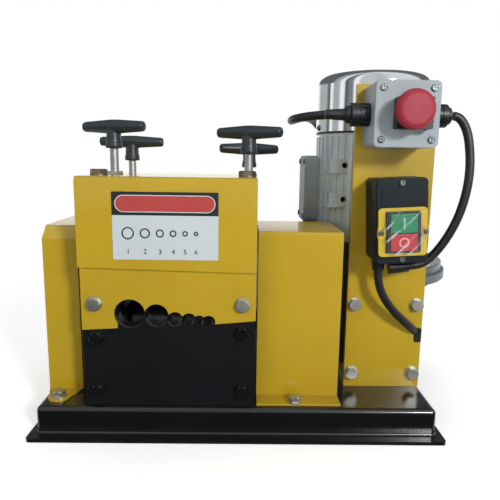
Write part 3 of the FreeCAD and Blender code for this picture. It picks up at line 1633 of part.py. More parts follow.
motor_route = (
    (158.4, -107.0, 187.0),
    (159.2, -107.0, 173.5),
    (165.4, -105.5, 156.5),
    (179.0, -101.5, 137.8),
    (196.5, -95.5, 121.5),
    (211.0, -87.0, 109.0),
    (217.8, -72.5, 100.5),
    (219.5, -48.0, 93.0),
    (220.2, -10.0, 86.0),
    (219.0, 28.0, 80.0),
    (212.0, 62.0, 76.0),
    (192.0, 87.0, 74.0),
    (160.0, 99.5, 75.0),
    (126.0, 98.0, 84.0),
    (95.0, 88.0, 103.0),
    (74.5, 76.5, 131.0),
    (66.0, 69.0, 157.0),
    (68.5, 65.0, 180.0),
    (78.0, 63.2, 196.0),
    (89.8, 62.6, 206.5),
    (97.6, 62.5, 220.5),
)

def coil_point(turn):
    """A point of the coil and its direction, by turns from the start: in on the floor, then out on top."""
    step = 1e-5

    def at(t):
        half = coil_turns / 2
        blend = 0.5
        depth = abs(t - half)
        if depth < blend / 2:
            drawn = half - (depth * depth / blend + blend / 4)
        else:
            drawn = half - depth
        radius = coil_radius - coil_pitch * drawn
        climb = min(max((t - half + blend / 2) / blend, 0), 1)
        height = coil_rise * climb * climb * (3 - 2 * climb)
        angle = -math.pi / 2 - 2 * math.pi * t
        x = supply_route[-1][0] + radius * math.cos(angle)
        y = supply_route[-1][1] + coil_radius + radius * math.sin(angle)
        return V(x, y, supply_route[-1][2] + height)

    direction = at(turn + step) - at(turn - step)
    direction.normalize()
    return at(turn), direction


def biarc(p0, t0, p1, t1):
    """Two arcs that leave the first point and reach the second along the given directions."""
    v = p1 - p0
    t = t0 + t1
    bend = 2 * (1 - t0.dot(t1))
    d = (-v.dot(t) + math.sqrt(v.dot(t) ** 2 + bend * v.dot(v))) / bend
    q0 = p0 + t0 * d
    q1 = p1 - t1 * d
    joint = (q0 + q1) * 0.5
    return [arc_between(p0, q0, joint), arc_between(joint, q1, p1)]


def supply_coil():
    steps = round(coil_turns * 4)
    knots = [coil_point(coil_turns * k / steps) for k in range(steps + 1)]
    start = V(*supply_route[-1])
    end, out = knots[-1]
    tail = end + out * coil_tail
    edges = []
    for (p0, t0), (p1, t1) in zip(knots, knots[1:]):
        edges += biarc(p0, t0, p1, t1)
    edges.append(Part.LineSegment(end, tail).toShape())
    path = Part.Wire(edges)
    section = Part.Wire(Part.Circle(start, knots[0][1], cable_radius).toShape())
    coil = path.makePipeShell([section], True, False)
    samples = [coil_point(coil_turns * k / 400)[0] for k in range(401)]
    gaps = [
        (samples[i] - samples[j]).Length - 2 * cable_radius
        for i in range(0, 401, 2)
        for j in range(i + 80, 401, 2)
    ]
    print("  coil length", round(path.Length), "least gap to itself", round(min(gaps), 2))
    return coil, tail, out


def supply_plug(tail, out):
    """A moulded mains plug with a tapered sleeve and three flat pins, lying flat."""
    heading = V(out.x, out.y, 0)
    heading.normalize()
    sleeve = Part.makeCone(cable_radius + 1.0, cable_radius + 3.4, plug_sleeve)
    top = plug_sleeve + plug_length
    body = box(-plug_width / 2, plug_width / 2, -plug_height / 2, plug_height / 2, plug_sleeve - 1, top)
    body = body.makeFillet(plug_corner, body.Edges)
    pins = []
    for dx, dy, turn in ((-8.0, 4.0, 30.0), (8.0, 4.0, -30.0), (0.0, -6.5, 0.0)):
        pin = box(-0.8, 0.8, -3.2, 3.2, top - 3, top + pin_length)
        pin.rotate(V(0, 0, 0), UP, turn)
        pin.translate(V(dx, dy, 0))
        pins.append(pin)
    plug = join([sleeve, body] + pins)
    side = V(0, 0, 1).cross(heading)
    matrix = FreeCAD.Matrix(
        side.x, 0, heading.x, tail.x,
        side.y, 0, heading.y, tail.y,
        0, 1, 0, tail.z,
        0, 0, 0, 1,
    )
    return plug.transformGeometry(matrix)


def cable_glands():
    """The other glands: stop box right side, both under the switch, one under the terminal box."""
    right = side_gland(estop_x + estop_size / 2, 1, link_gland_length)
    glands = [right]
    for route, case in (
        (tuple(reversed(link_route)), switch_turn(switch_case_shape())),
        (motor_route, switch_turn(switch_case_shape())),
        (tuple(reversed(motor_route)), terminal_box_shape()),
    ):
        start = V(*route[0])
        toward = start - V(*route[1])
        toward.normalize()
        body = Part.makeCone(small_gland_radius - 1.5, small_gland_radius, small_gland_length)
        outside = place(body, start, toward).cut(case)
        glands.append(min(outside.Solids, key=lambda s: s.CenterOfMass.z))
    return glands


def export(name, shape):
    solids = shape if isinstance(shape, list) else [shape]
    solids = [s for item in solids for s in item.Solids]
    whole = solids[0] if len(solids) == 1 else Part.makeCompound(solids)
    whole.exportStep(os.path.join("parts", name + ".step"))
    ok = all(s.isValid() for s in solids)
    low, high = whole.BoundBox.ZMin, whole.BoundBox.ZMax
    volume = whole.Volume / 1000
    print(f"{name:22s} {len(solids):3d} valid {ok} volume {volume:9.1f} cm3 z {low:7.1f} {high:7.1f}")


def main():
    os.makedirs("parts", exist_ok=True)
    export("base_tray", base_tray())
    export("front_block", front_block())
    export("front_block_bolts", front_block_bolts())
    export("guide_plate", guide_plate())
    export("hex_bolts", hex_bolts())
    export("side_frame_left", side_frame(head_left, left_frame_inside, left_frame_inside))
    export("side_frame_right", side_frame(right_frame_inside, head_right, right_frame_inside))
    export("top_plate", top_plate())
    export("frame_screws", frame_screws())
    export("lock_nuts", lock_nuts())
    export("hood", hood())
    export("hood_bolts", hood_bolts())
    export("rear_plate", rear_plate())
    export("left_guard", left_guard())
    export("right_cover", right_cover())
    export("column", column())
    export("lower_bearings", lower_bearings())
    export("gearbox_housing", gearbox_housing())
    export("gearbox_cover", gearbox_cover())
    export("motor_body", motor_body())
    export("fan_cover", fan_cover())
    export("terminal_box", [terminal_case(), terminal_lid_plate()])
    export("panel_screws", panel_screws())
    export("estop_box", estop_box())
    export("estop_lid", estop_lid())
    export("estop_collar", estop_collar())
    export("supply_gland", supply_gland())
    export("cable_glands", cable_glands())
    export("switch_box", switch_box())
    export("switch_bezel", switch_bezel())
    export("switch_frame", switch_frame())
    export("switch_cover", switch_cover())
    export("bearing_block_left", bearing_block(head_left, left_frame_inside))
    export("bearing_block_right", bearing_block(head_right, right_frame_inside))
    export("upper_bearings", upper_bearings())
    export("blade_shaft", blade_shaft())
    export("blades", blades())
    export("upper_gear", upper_gear())
    export("feed_roller", feed_roller())
    export("lower_gear", lower_gear())
    export("worm_wheel", worm_wheel())
    export("motor_rotor", motor_rotor())
    export("cooling_fan", cooling_fan())
    for name in screws:
        export("handle_" + name, handle(name))
        export("screw_" + name, handle_screw(name))
    export("estop_stem", estop_stem())
    export("estop_button", estop_button())
    export("green_button", green_button())
    export("red_button", red_button())
    export("link_cable", bent_tube(link_route, cable_radius))
    export("motor_cable", bent_tube(motor_route, cable_radius))
    export("supply_cord", bent_tube(supply_route, cable_radius))
    coil, tail, out = supply_coil()
    export("supply_coil", coil)
    export("supply_plug", supply_plug(tail, out))


main()
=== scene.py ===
# %% [markdown]
# # A wire stripping machine, dressed for the studio
# The machine pulls an insulated wire through a row of guide holes, between a driven roller and round
# blades, and slits its plastic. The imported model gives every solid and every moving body. This script gives
# those solids their paint, metal and plastic, and builds the pieces that need softer forms than a solid
# has.

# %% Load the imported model
import bmesh
import bpy
import json
import math
from mathutils import Matrix, Vector

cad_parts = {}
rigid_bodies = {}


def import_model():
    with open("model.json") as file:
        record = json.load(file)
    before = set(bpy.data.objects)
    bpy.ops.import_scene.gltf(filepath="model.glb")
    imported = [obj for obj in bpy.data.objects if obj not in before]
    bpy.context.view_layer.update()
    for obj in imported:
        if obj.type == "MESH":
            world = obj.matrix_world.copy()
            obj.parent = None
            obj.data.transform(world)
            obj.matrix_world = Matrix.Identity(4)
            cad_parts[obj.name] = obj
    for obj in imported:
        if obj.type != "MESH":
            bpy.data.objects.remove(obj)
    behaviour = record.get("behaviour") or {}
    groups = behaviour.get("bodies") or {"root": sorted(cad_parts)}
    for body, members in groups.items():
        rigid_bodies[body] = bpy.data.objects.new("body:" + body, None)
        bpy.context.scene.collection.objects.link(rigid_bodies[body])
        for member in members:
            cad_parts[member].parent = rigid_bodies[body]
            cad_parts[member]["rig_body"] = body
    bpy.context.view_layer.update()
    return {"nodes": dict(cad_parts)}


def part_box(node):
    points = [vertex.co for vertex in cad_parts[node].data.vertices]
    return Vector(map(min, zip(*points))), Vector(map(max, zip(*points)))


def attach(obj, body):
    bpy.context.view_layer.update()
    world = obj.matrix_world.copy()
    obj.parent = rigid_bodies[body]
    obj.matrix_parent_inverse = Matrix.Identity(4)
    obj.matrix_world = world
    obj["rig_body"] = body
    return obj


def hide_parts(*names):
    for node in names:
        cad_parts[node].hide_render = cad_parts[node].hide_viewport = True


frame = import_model()
nodes = frame["nodes"]

# %% [markdown]
# ## The camera
# The photograph was taken from a little above the machine and almost straight in front of it. A camera
# could be aimed with a tracking constraint, but that can't lean it. So it is placed by its own three
# directions: right, up and the way that it looks, built from small turns to the side and downward and a
# slight lean.

# %% Place the camera
SENSOR_WIDTH = 36.0


def studio_camera(place, turn, tip, lean, lens):
    look = Vector((math.sin(turn) * math.cos(tip), math.cos(turn) * math.cos(tip), -math.sin(tip)))
    level = Vector((math.cos(turn), -math.sin(turn), 0.0))
    upright = level.cross(look)
    right = level * math.cos(lean) + upright * math.sin(lean)
    up = upright * math.cos(lean) - level * math.sin(lean)
    camera = bpy.data.objects.new("studio_camera", bpy.data.cameras.new("studio_camera"))
    camera.data.lens = lens
    camera.data.sensor_width = SENSOR_WIDTH
    axes = Matrix((right, up, -look)).transposed().to_4x4()
    camera.matrix_world = Matrix.Translation(place) @ axes
    bpy.context.scene.collection.objects.link(camera)
    bpy.context.scene.camera = camera
    return camera


camera = studio_camera((0.00541, -0.6752, 0.3077), turn=0.012, tip=0.174, lean=0.014, lens=36.77)
print("camera at", [round(v, 3) for v in camera.location])

# %% [markdown]
# ## Helpers for shader nodes
# Every finish is a small network of nodes. One helper adds a node, sets its options and fills or links its
# sockets, so that each finish reads as a short list. A socket is given by its name, or by i and its number
# where several sockets of a node share one name.

# %% A short way to write shader nodes
def add_node(tree, kind, options=(), **sockets):
    node = tree.nodes.new(kind)
    for name, value in dict(options).items():
        setattr(node, name, value)
    for name, value in sockets.items():
        numbered = name[0] == "i" and name[1:].isdigit()
        socket = node.inputs[int(name[1:]) if numbered else name.replace("_", " ")]
        if isinstance(value, bpy.types.NodeSocket):
            tree.links.new(value, socket)
        else:
            socket.default_value = value
    return node


def set_sockets(node, values):
    for name, value in values.items():
        node.inputs[name].default_value = value


def colour(red, green, blue):
    """A colour as it looks on screen, turned into the linear light values that shaders use."""
    def linear(c):
        return c / 12.92 if c <= 0.04045 else ((c + 0.055) / 1.055) ** 2.4

    return (linear(red / 255), linear(green / 255), linear(blue / 255), 1.0)


print("mid grey is", round(colour(128, 128, 128)[0], 3))

# %% [markdown]
# Three sets of nodes come back in many finishes: the place of a surface point, a noise, and a mix of two
# colours. Each gets a short name of its own. Another helper starts a node group, which is a network that
# several finishes can share.

# %% Names for the nodes that come back
def start_group(name, inputs, outputs):
    """A node group with named inputs and outputs, and its two end nodes."""
    tree = bpy.data.node_groups.new(name, "ShaderNodeTree")
    for label, kind, value in inputs:
        socket = tree.interface.new_socket(label, in_out="INPUT", socket_type=kind)
        socket.default_value = value
    for label, kind in outputs:
        tree.interface.new_socket(label, in_out="OUTPUT", socket_type=kind)
    return tree, tree.nodes.new("NodeGroupInput"), tree.nodes.new("NodeGroupOutput")


def object_place(tree):
    """The place of a surface point on its object, which moves with the object."""
    return add_node(tree, "ShaderNodeTexCoord").outputs["Object"]


def soft_noise(tree, place, size, detail):
    return add_node(tree, "ShaderNodeTexNoise", Vector=place, Scale=size, Detail=detail).outputs["Fac"]


def mixed_colour(tree, share, first, second):
    return add_node(tree, "ShaderNodeMix", {"data_type": "RGBA"}, i0=share, i6=first, i7=second).outputs[2]


print("node helpers ready")

# %% [markdown]
# ## Effects that several finishes share
# Paint is never quite even: it pools and thins, and its surface has a fine ripple, called orange peel. An
# image could show both, but a noise made by a formula stays sharp at any distance. A large soft noise gives
# the change of tone and a fine one the ripple. Both are one group, placed in each paint with its own
# values.

# %% The paint group: uneven tone and orange peel
FLOAT = "NodeSocketFloat"
COLOUR = "NodeSocketColor"


def paint_group():
    tree, given, out = start_group(
        "uneven_paint",
        [("Colour", COLOUR, (0.8, 0.8, 0.8, 1)), ("Darker", COLOUR, (0.7, 0.7, 0.7, 1)),
         ("Patch size", FLOAT, 12.0), ("Ripple size", FLOAT, 900.0)],
        [("Colour", COLOUR), ("Ripple", FLOAT)],
    )
    place = object_place(tree)
    patches = soft_noise(tree, place, given.outputs["Patch size"], detail=3.0)
    share = add_node(tree, "ShaderNodeMapRange", i0=patches, i1=0.35, i2=0.75)
    tone = mixed_colour(tree, share.outputs[0], given.outputs["Colour"], given.outputs["Darker"])
    ripple = soft_noise(tree, place, given.outputs["Ripple size"], detail=2.0)
    tree.links.new(tone, out.inputs["Colour"])
    tree.links.new(ripple, out.inputs["Ripple"])
    return tree


uneven_paint = paint_group()
print("group:", uneven_paint.name)

# %% [markdown]
# Metal that has been milled, ground or drawn keeps fine parallel scratches. Modelling them would take
# millions of faces, while a noise that is stretched along one axis gives them for nothing. The group
# returns the scratches, which serve as a height and as a mask for the roughness, and stains, which darken
# the metal here and there.

# %% The metal group: fine scratches along one axis
def scratch_group():
    tree, given, out = start_group(
        "fine_scratches",
        [("Along X", FLOAT, 1.0), ("Along Y", FLOAT, 1.0), ("Along Z", FLOAT, 1.0), ("Size", FLOAT, 700.0)],
        [("Scratches", FLOAT), ("Stains", FLOAT)],
    )
    place = object_place(tree)
    stretch = add_node(
        tree, "ShaderNodeCombineXYZ", X=given.outputs["Along X"], Y=given.outputs["Along Y"],
        Z=given.outputs["Along Z"],
    )
    scaled = add_node(
        tree, "ShaderNodeVectorMath", {"operation": "MULTIPLY"}, i0=place, i1=stretch.outputs[0]
    ).outputs[0]
    lines = soft_noise(tree, scaled, given.outputs["Size"], detail=4.0)
    stains = add_node(tree, "ShaderNodeTexNoise", Vector=place, Scale=45.0, Detail=5.0, Roughness=0.6)
    tree.links.new(lines, out.inputs["Scratches"])
    tree.links.new(stains.outputs["Fac"], out.inputs["Stains"])
    return tree


fine_scratches = scratch_group()
print("group:", fine_scratches.name)

# %% [markdown]
# Moulded plastic carries the fine sparked grain of its mould. One roughness for the whole surface would
# look like wax. So a small noise gives the grain as a height, and a larger one varies how shiny the surface
# is, as where hands have polished it.

# %% The plastic group: mould grain
def grain_group():
    tree, given, out = start_group(
        "mould_grain",
        [("Grain size", FLOAT, 1800.0), ("Rough low", FLOAT, 0.4), ("Rough high", FLOAT, 0.55)],
        [("Grain", FLOAT), ("Roughness", FLOAT)],
    )
    place = object_place(tree)
    grain = soft_noise(tree, place, given.outputs["Grain size"], detail=2.0)
    handled = soft_noise(tree, place, 60.0, detail=3.0)
    rough = add_node(
        tree, "ShaderNodeMapRange", i0=handled, i1=0.3, i2=0.7, i3=given.outputs["Rough low"],
        i4=given.outputs["Rough high"],
    )
    tree.links.new(grain, out.inputs["Grain"])
    tree.links.new(rough.outputs[0], out.inputs["Roughness"])
    return tree


mould_grain = grain_group()
print("group:", mould_grain.name)

# %% [markdown]
# ## Finishes
# The machine has painted, bare and moulded surfaces. Each of these families is one function round a
# Principled shader, so that a finish is one line of values. Paint is a coloured layer under a clear coat,
# bare metal is fully metallic with scratches, and plastic is neither, with grain.

# %% What all finishes share
finishes = {}


def new_finish(name):
    material = bpy.data.materials.new(name)
    material.use_nodes = True
    finishes[name] = material
    return material.node_tree, material.node_tree.nodes["Principled BSDF"]


def use_group(tree, group, **values):
    return add_node(tree, "ShaderNodeGroup", {"node_tree": group}, **values)


def bump(tree, shader, height, strength, distance):
    raised = add_node(tree, "ShaderNodeBump", Height=height, Strength=strength, Distance=distance)
    tree.links.new(raised.outputs["Normal"], shader.inputs["Normal"])


def dimmed(tone, share):
    return tuple(c * (1.0 - share) for c in tone[:3]) + (1.0,)


print("finish helpers ready")

# %% [markdown]
# The three families follow. What changes over a surface comes from the groups, and what is the same all
# over it is set on the shader's own sockets, where it is easy to find and to change.

# %% Three families of finish
COAT_ROUGHNESS = 0.09
SCRATCH_DEPTH = 0.00002


def paint(
    name, tone, darker, roughness, coat, patch=12.0, ripple=420.0, ripple_depth=0.00006, specular=0.5,
    metallic=0.0,
):
    tree, shader = new_finish(name)
    uneven = use_group(tree, uneven_paint, Colour=tone, Darker=darker, Patch_size=patch, Ripple_size=ripple)
    tree.links.new(uneven.outputs["Colour"], shader.inputs["Base Color"])
    set_sockets(shader, {
        "Roughness": roughness, "Specular IOR Level": specular, "Metallic": metallic, "Coat Weight": coat,
        "Coat Roughness": COAT_ROUGHNESS,
    })
    bump(tree, shader, uneven.outputs["Ripple"], 0.35, ripple_depth)


def metal(name, tone, rough_low, rough_high, along=(1.0, 1.0, 1.0), size=700.0, stain=0.25):
    tree, shader = new_finish(name)
    marks = use_group(tree, fine_scratches, Along_X=along[0], Along_Y=along[1], Along_Z=along[2], Size=size)
    scratches, stains = marks.outputs["Scratches"], marks.outputs["Stains"]
    rough = add_node(tree, "ShaderNodeMapRange", i0=scratches, i1=0.3, i2=0.7, i3=rough_low, i4=rough_high)
    share = add_node(tree, "ShaderNodeMapRange", i0=stains, i1=0.45, i2=0.75)
    stained = mixed_colour(tree, share.outputs[0], tone, dimmed(tone, stain))
    tree.links.new(stained, shader.inputs["Base Color"])
    tree.links.new(rough.outputs[0], shader.inputs["Roughness"])
    set_sockets(shader, {"Metallic": 1.0})
    bump(tree, shader, scratches, 0.3, SCRATCH_DEPTH)


def plastic(name, tone, rough_low, rough_high, grain=1800.0, depth=0.00003, darker=0.12, specular=0.5):
    tree, shader = new_finish(name)
    made = use_group(tree, mould_grain, Grain_size=grain, Rough_low=rough_low, Rough_high=rough_high)
    grained = mixed_colour(tree, made.outputs["Grain"], tone, dimmed(tone, darker))
    tree.links.new(grained, shader.inputs["Base Color"])
    tree.links.new(made.outputs["Roughness"], shader.inputs["Roughness"])
    set_sockets(shader, {"Specular IOR Level": specular})
    bump(tree, shader, made.outputs["Grain"], 0.4, depth)


print("finish families: paint, metal, plastic")

# %% [markdown]
# Now the finishes of this machine, first its paints. The sheets wear a warm mustard powder coat. The tray
# is glossy black, the guide block and the side frames are satin black, and the motor is a pale metallic
# grey. The plate on the hood is enamelled. One tone would look like a flat print, so each paint has a
# second, slightly darker one for its patches.

# %% The paints
ENAMEL = {"ripple": 600.0, "ripple_depth": 0.00002}
paint("yellow_paint", colour(187, 156, 27), colour(180, 148, 24), 0.42, 0.75, specular=0.25)
paint(
    "black_gloss_paint", colour(13, 15, 18), colour(10, 11, 13), 0.24, 0.4, ripple=260.0,
    ripple_depth=0.00012,
)
paint("black_satin_paint", colour(16, 18, 22), colour(12, 13, 16), 0.4, 0.2, ripple=300.0, specular=0.35)
paint(
    "grey_paint", colour(218, 229, 234), colour(204, 215, 221), 0.34, 0.2, patch=45.0, ripple=700.0,
    metallic=0.35,
)
paint(
    "box_paint", colour(168, 177, 180), colour(152, 161, 165), 0.5, 0.0, patch=40.0, ripple=700.0,
    specular=0.2,
)
paint(
    "cast_metal", colour(104, 112, 117), colour(88, 95, 100), 0.5, 0.1, patch=30.0, ripple=500.0,
    ripple_depth=0.0002,
)
paint("white_enamel", colour(196, 205, 206), colour(191, 200, 202), 0.45, 0.1, **ENAMEL)
paint("red_enamel", colour(180, 66, 62), colour(172, 60, 57), 0.38, 0.2, **ENAMEL)
paint("black_enamel", colour(30, 38, 36), colour(24, 31, 30), 0.38, 0.2, **ENAMEL)
print("paints:", list(finishes))

# %% [markdown]
# The motor's body and its flange are one casting. The flange below the body gets a darker tone, which is
# painted shade for the shade that falls there under the body. The solid could be cut in two, but its faces
# stay as they are, so the height on the object tells the two apart instead, with a narrow soft step between
# them.

# %% Painted shade on the casting below the motor's body
# A darker tone, painted shade below the motor's body.
FOOT_SHADE_TONE = colour(96, 104, 108)
FULL_SHADE_BELOW, NO_SHADE_ABOVE = 0.197, 0.2


def leave_foot_bare(material):
    tree = material.node_tree
    base = tree.nodes["Principled BSDF"].inputs["Base Color"]
    painted = base.links[0].from_socket
    height = add_node(tree, "ShaderNodeSeparateXYZ", Vector=object_place(tree)).outputs["Z"]
    share = add_node(tree, "ShaderNodeMapRange", i0=height, i1=FULL_SHADE_BELOW, i2=NO_SHADE_ABOVE).outputs[0]
    # Below the step, the painted shade takes the place of the paint's colour.
    tree.links.new(mixed_colour(tree, share, FOOT_SHADE_TONE, painted), base)


leave_foot_bare(finishes["grey_paint"])
print("paint starts at", NO_SHADE_ABOVE)

# %% [markdown]
# Bare metal differs from piece to piece: zinc plated bolts are pale and blurred, the bolts of the hood have
# gone brownish, shafts and blades are ground in one direction, and the hood of the fan is polished like a
# mirror. A small share along an axis makes the scratches long in that direction.

# %% The metals
metal("bright_steel", colour(198, 198, 188), 0.38, 0.55, stain=0.4)
metal("bronzed_steel", colour(134, 126, 108), 0.3, 0.5, stain=0.45)
metal("dull_steel", colour(128, 132, 132), 0.35, 0.55, stain=0.5)
metal("ground_steel", colour(134, 136, 136), 0.32, 0.48, along=(0.06, 1.0, 1.0), stain=0.2)
metal("plain_rod", colour(176, 180, 178), 0.34, 0.5, along=(1.0, 1.0, 0.08), stain=0.15)
metal("blade_steel", colour(112, 114, 116), 0.3, 0.45, along=(1.0, 0.3, 0.3), stain=0.3)
metal("bearing_steel", colour(170, 172, 174), 0.2, 0.34, stain=0.15)
metal("polished_steel", colour(214, 218, 220), 0.05, 0.1, along=(1.0, 1.0, 0.05), size=500.0, stain=0.08)
print("finishes so far:", len(finishes))

# %% [markdown]
# The plastics follow. The boxes are dull, the push buttons are shinier, and the stop button is dull with a
# coarse grain, which a larger noise with a dark second tone gives. The marks on the buttons aren't a pure
# white but have a pale tint of their button, so each has a finish of its own.

# %% The plastics and the rubber
plastic("dark_plastic", colour(38, 46, 52), 0.3, 0.44)
plastic("switch_plastic", colour(24, 33, 39), 0.42, 0.55, specular=0.2)
plastic("light_grey_plastic", colour(158, 167, 171), 0.42, 0.52, darker=0.06, specular=0.3)
plastic("black_plastic", colour(24, 27, 30), 0.36, 0.5)
plastic(
    "red_plastic", colour(168, 48, 64), 0.45, 0.58, grain=700.0, depth=0.00006, darker=0.3, specular=0.35
)
plastic("red_button_plastic", colour(188, 34, 42), 0.25, 0.35)
plastic("green_plastic", colour(24, 132, 86), 0.22, 0.32)
plastic("yellow_plastic", colour(206, 176, 40), 0.3, 0.42, darker=0.06)
plastic("print_on_green", colour(150, 196, 172), 0.4, 0.5, darker=0.05)
plastic("print_on_red", colour(226, 152, 152), 0.4, 0.5, darker=0.05)
plastic("fan_plastic", colour(60, 62, 64), 0.5, 0.6)
plastic("black_rubber", colour(26, 28, 30), 0.36, 0.52, grain=1200.0)
print("finishes:", len(finishes))

# %% [markdown]
# The splash cover over the push buttons is thin clear plastic. Glass would bend the light, which a thin cover
# hardly does, so this one is mostly see-through by its alpha. Pale slanting bands on it are painted
# reflection: a glare painted into the plastic. A long thin noise, turned to their slant, drives how solid and
# pale the plastic looks.

# %% The clear plastic of the splash cover
GLARE_SLANT = math.radians(42)
GLARE_SIZE = (0.0045, 1.0, 0.045)
CLEAREST, MOST_GLARE = 0.03, 0.4


def streaked_clear(name, tone):
    tree, shader = new_finish(name)
    turned = add_node(
        tree, "ShaderNodeMapping", {"vector_type": "TEXTURE"}, Vector=object_place(tree),
        Rotation=(0.0, GLARE_SLANT, 0.0), Scale=GLARE_SIZE,
    ).outputs[0]
    # Painted reflection: pale slanting bands of glare, where the plastic turns more solid.
    glare_streaks = soft_noise(tree, turned, 1.0, detail=2.0)
    glare_mask = add_node(tree, "ShaderNodeMapRange", i0=glare_streaks, i1=0.55, i2=0.68, i3=CLEAREST, i4=MOST_GLARE)
    tree.links.new(glare_mask.outputs[0], shader.inputs["Alpha"])
    set_sockets(shader, {"Base Color": tone, "Roughness": 0.12})


streaked_clear("clear_plastic", colour(226, 232, 234))
print("clear plastic ready")

# %% [markdown]
# ## Which solid gets which finish
# The solids whose shape is already right stay as they are and only get a finish. A list for each finish is
# easier to check against the real machine than a finish for each solid.

# %% Dress the solids
CORNERS = ("front_left", "front_right", "rear_left", "rear_right")
SOLIDS_BY_FINISH = {
    "yellow_paint": [
        "hood", "guide_plate", "left_guard", "right_cover", "column", "top_plate", "rear_plate",
    ],
    "black_gloss_paint": ["base_tray", "front_block_bolts"],
    "black_satin_paint": ["front_block", "side_frame_left", "side_frame_right", "frame_screws"],
    "grey_paint": ["motor_body"],
    "box_paint": ["terminal_box"],
    "cast_metal": ["gearbox_housing", "gearbox_cover"],
    "bright_steel": ["hex_bolts", "lock_nuts"],
    "bronzed_steel": ["hood_bolts", "worm_wheel"],
    "dull_steel": ["panel_screws"],
    "ground_steel": [
        "bearing_block_left", "bearing_block_right", "blade_shaft", "upper_gear", "feed_roller",
        "lower_gear", "motor_rotor",
    ],
    "plain_rod": ["screw_" + corner for corner in CORNERS],
    "blade_steel": ["blades"],
    "bearing_steel": ["lower_bearings", "upper_bearings"],
    "polished_steel": ["fan_cover"],
    "dark_plastic": ["handle_" + corner for corner in CORNERS],
    "switch_plastic": ["switch_box", "switch_frame"],
    "light_grey_plastic": ["estop_box", "estop_lid"],
    "black_plastic": ["estop_collar", "estop_stem", "supply_gland", "cable_glands", "supply_plug"],
    "red_plastic": ["estop_button"],
    "red_button_plastic": ["red_button"],
    "green_plastic": ["green_button"],
    "yellow_plastic": ["switch_bezel"],
    "clear_plastic": ["switch_cover"],
    "fan_plastic": ["cooling_fan"],
    "black_rubber": ["link_cable", "motor_cable", "supply_cord", "supply_coil"],
}
finish_of = {node: finish for finish, group in SOLIDS_BY_FINISH.items() for node in group}


def dress(thing, finish):
    thing.data.materials.clear()
    thing.data.materials.append(finishes[finish])


for node, thing in nodes.items():
    dress(thing, finish_of[node])
print("dressed:", len(nodes), "left over:", sorted(set(finish_of) - set(nodes)))

# %% [markdown]
# ## Sheet metal with eased edges
# No real edge is perfectly sharp: paint rounds it, and it catches a thin line of light. A shader could fake
# that line with a rounded normal, but the mesh itself would stay sharp. So a copy of the solid's mesh, with
# its doubled corner points merged, gets a small bevel on every sharp edge.

# %% Helpers that copy a solid and ease its edges
SAME_POINT = 0.000002
FLAT_ANGLE = math.radians(0.4)
SHARP_ANGLE = math.radians(35)
body_of = {node: thing["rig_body"] for node, thing in nodes.items()}


def add_piece(name, shape, body, finish, stands_for=(), place=Matrix()):
    piece = bpy.data.objects.new(name, shape)
    bpy.context.scene.collection.objects.link(piece)
    piece.matrix_world = place
    dress(piece, finish)
    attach(piece, body)
    if stands_for:
        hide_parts(*stands_for)
    return piece


def softer_copy(node, name):
    """A piece that takes the place of a solid, with the solid's mesh made into one clean skin."""
    mesh = nodes[node].data.copy()
    work = bmesh.new()
    work.from_mesh(mesh)
    bmesh.ops.remove_doubles(work, verts=work.verts, dist=SAME_POINT)
    bmesh.ops.dissolve_limit(work, angle_limit=FLAT_ANGLE, verts=work.verts, edges=work.edges)
    work.to_mesh(mesh)
    work.free()
    if mesh.attributes.get("custom_normal"):
        mesh.attributes.remove(mesh.attributes["custom_normal"])
    mesh.shade_smooth()
    return add_piece(name, mesh, body_of[node], finish_of[node], [node])


def eased(node, name, width):
    piece = softer_copy(node, name)
    ease = piece.modifiers.new("eased_edges", "BEVEL")
    ease.width = width
    ease.segments = 2
    ease.limit_method = "ANGLE"
    ease.angle_limit = SHARP_ANGLE
    ease.harden_normals = True
    print(name, "faces:", len(piece.data.polygons))


# %% [markdown]
# The yellow sheets and plates show the most edges, so they are the ones to ease. Thick plate has a rounder
# edge than thin sheet, and every width stays below a millimetre, so that the pieces keep their size.

# %% Ease the yellow sheets
EDGE_WIDTHS = {
    "hood": 0.0006, "guide_plate": 0.0005, "left_guard": 0.0007, "right_cover": 0.0007, "column": 0.0009,
    "top_plate": 0.0006, "rear_plate": 0.0005,
}
for node, width in EDGE_WIDTHS.items():
    panel = "guide_panel" if node == "guide_plate" else node + "_panel"
    eased(node, panel, width)

# %% [markdown]
# ## The T handles
# The handles are moulded in one piece, so the bar flows into its hub without a crease. A bevel can't round
# such a join. Turning the solid into a fine skin of equal cells (a voxel remesh) and smoothing it a few
# times rounds every join the way a mould does.

# %% Mould the four handles
SKIN_CELL = 0.0007
SMOOTHINGS = 6


def moulded(node, name):
    piece = softer_copy(node, name)
    cells = piece.modifiers.new("one_skin", "REMESH")
    cells.mode = "VOXEL"
    cells.voxel_size = SKIN_CELL
    soft = piece.modifiers.new("soft_joins", "CORRECTIVE_SMOOTH")
    soft.iterations = SMOOTHINGS
    soft.use_only_smooth = True
    bpy.context.view_layer.update()
    shape = bpy.data.meshes.new_from_object(piece.evaluated_get(bpy.context.evaluated_depsgraph_get()))
    piece.modifiers.clear()
    piece.data = shape
    dress(piece, finish_of[node])
    shape.shade_smooth()
    print(name, "points:", len(shape.vertices))


for corner in CORNERS:
    moulded("handle_" + corner, "t_handle_" + corner)

# %% [markdown]
# ## The cables
# A cable is a smooth line with a round section. A mesh tube would need a ring of points at every step,
# while a curve only needs the points that steer it. A NURBS curve, drawn near its points and not through
# them, never kinks.

# %% A helper for cables
CABLE = 0.0095


def cable(name, points, stands_for):
    curve = bpy.data.curves.new(name, "CURVE")
    curve.dimensions = "3D"
    line = curve.splines.new("NURBS")
    line.points.add(len(points) - 1)
    for spot, (x, y, z) in zip(line.points, points):
        spot.co = (x, y, z, 1.0)
    line.order_u = 3
    line.use_endpoint_u = True
    line.resolution_u = 8
    curve.bevel_depth = CABLE / 2
    curve.bevel_resolution = 6
    curve.use_fill_caps = True
    print(name, "points:", len(points))
    return add_piece(name, curve, "machine", "black_rubber", stands_for)


def millimetres(*points):
    return [tuple(v / 1000 for v in point) for point in points]


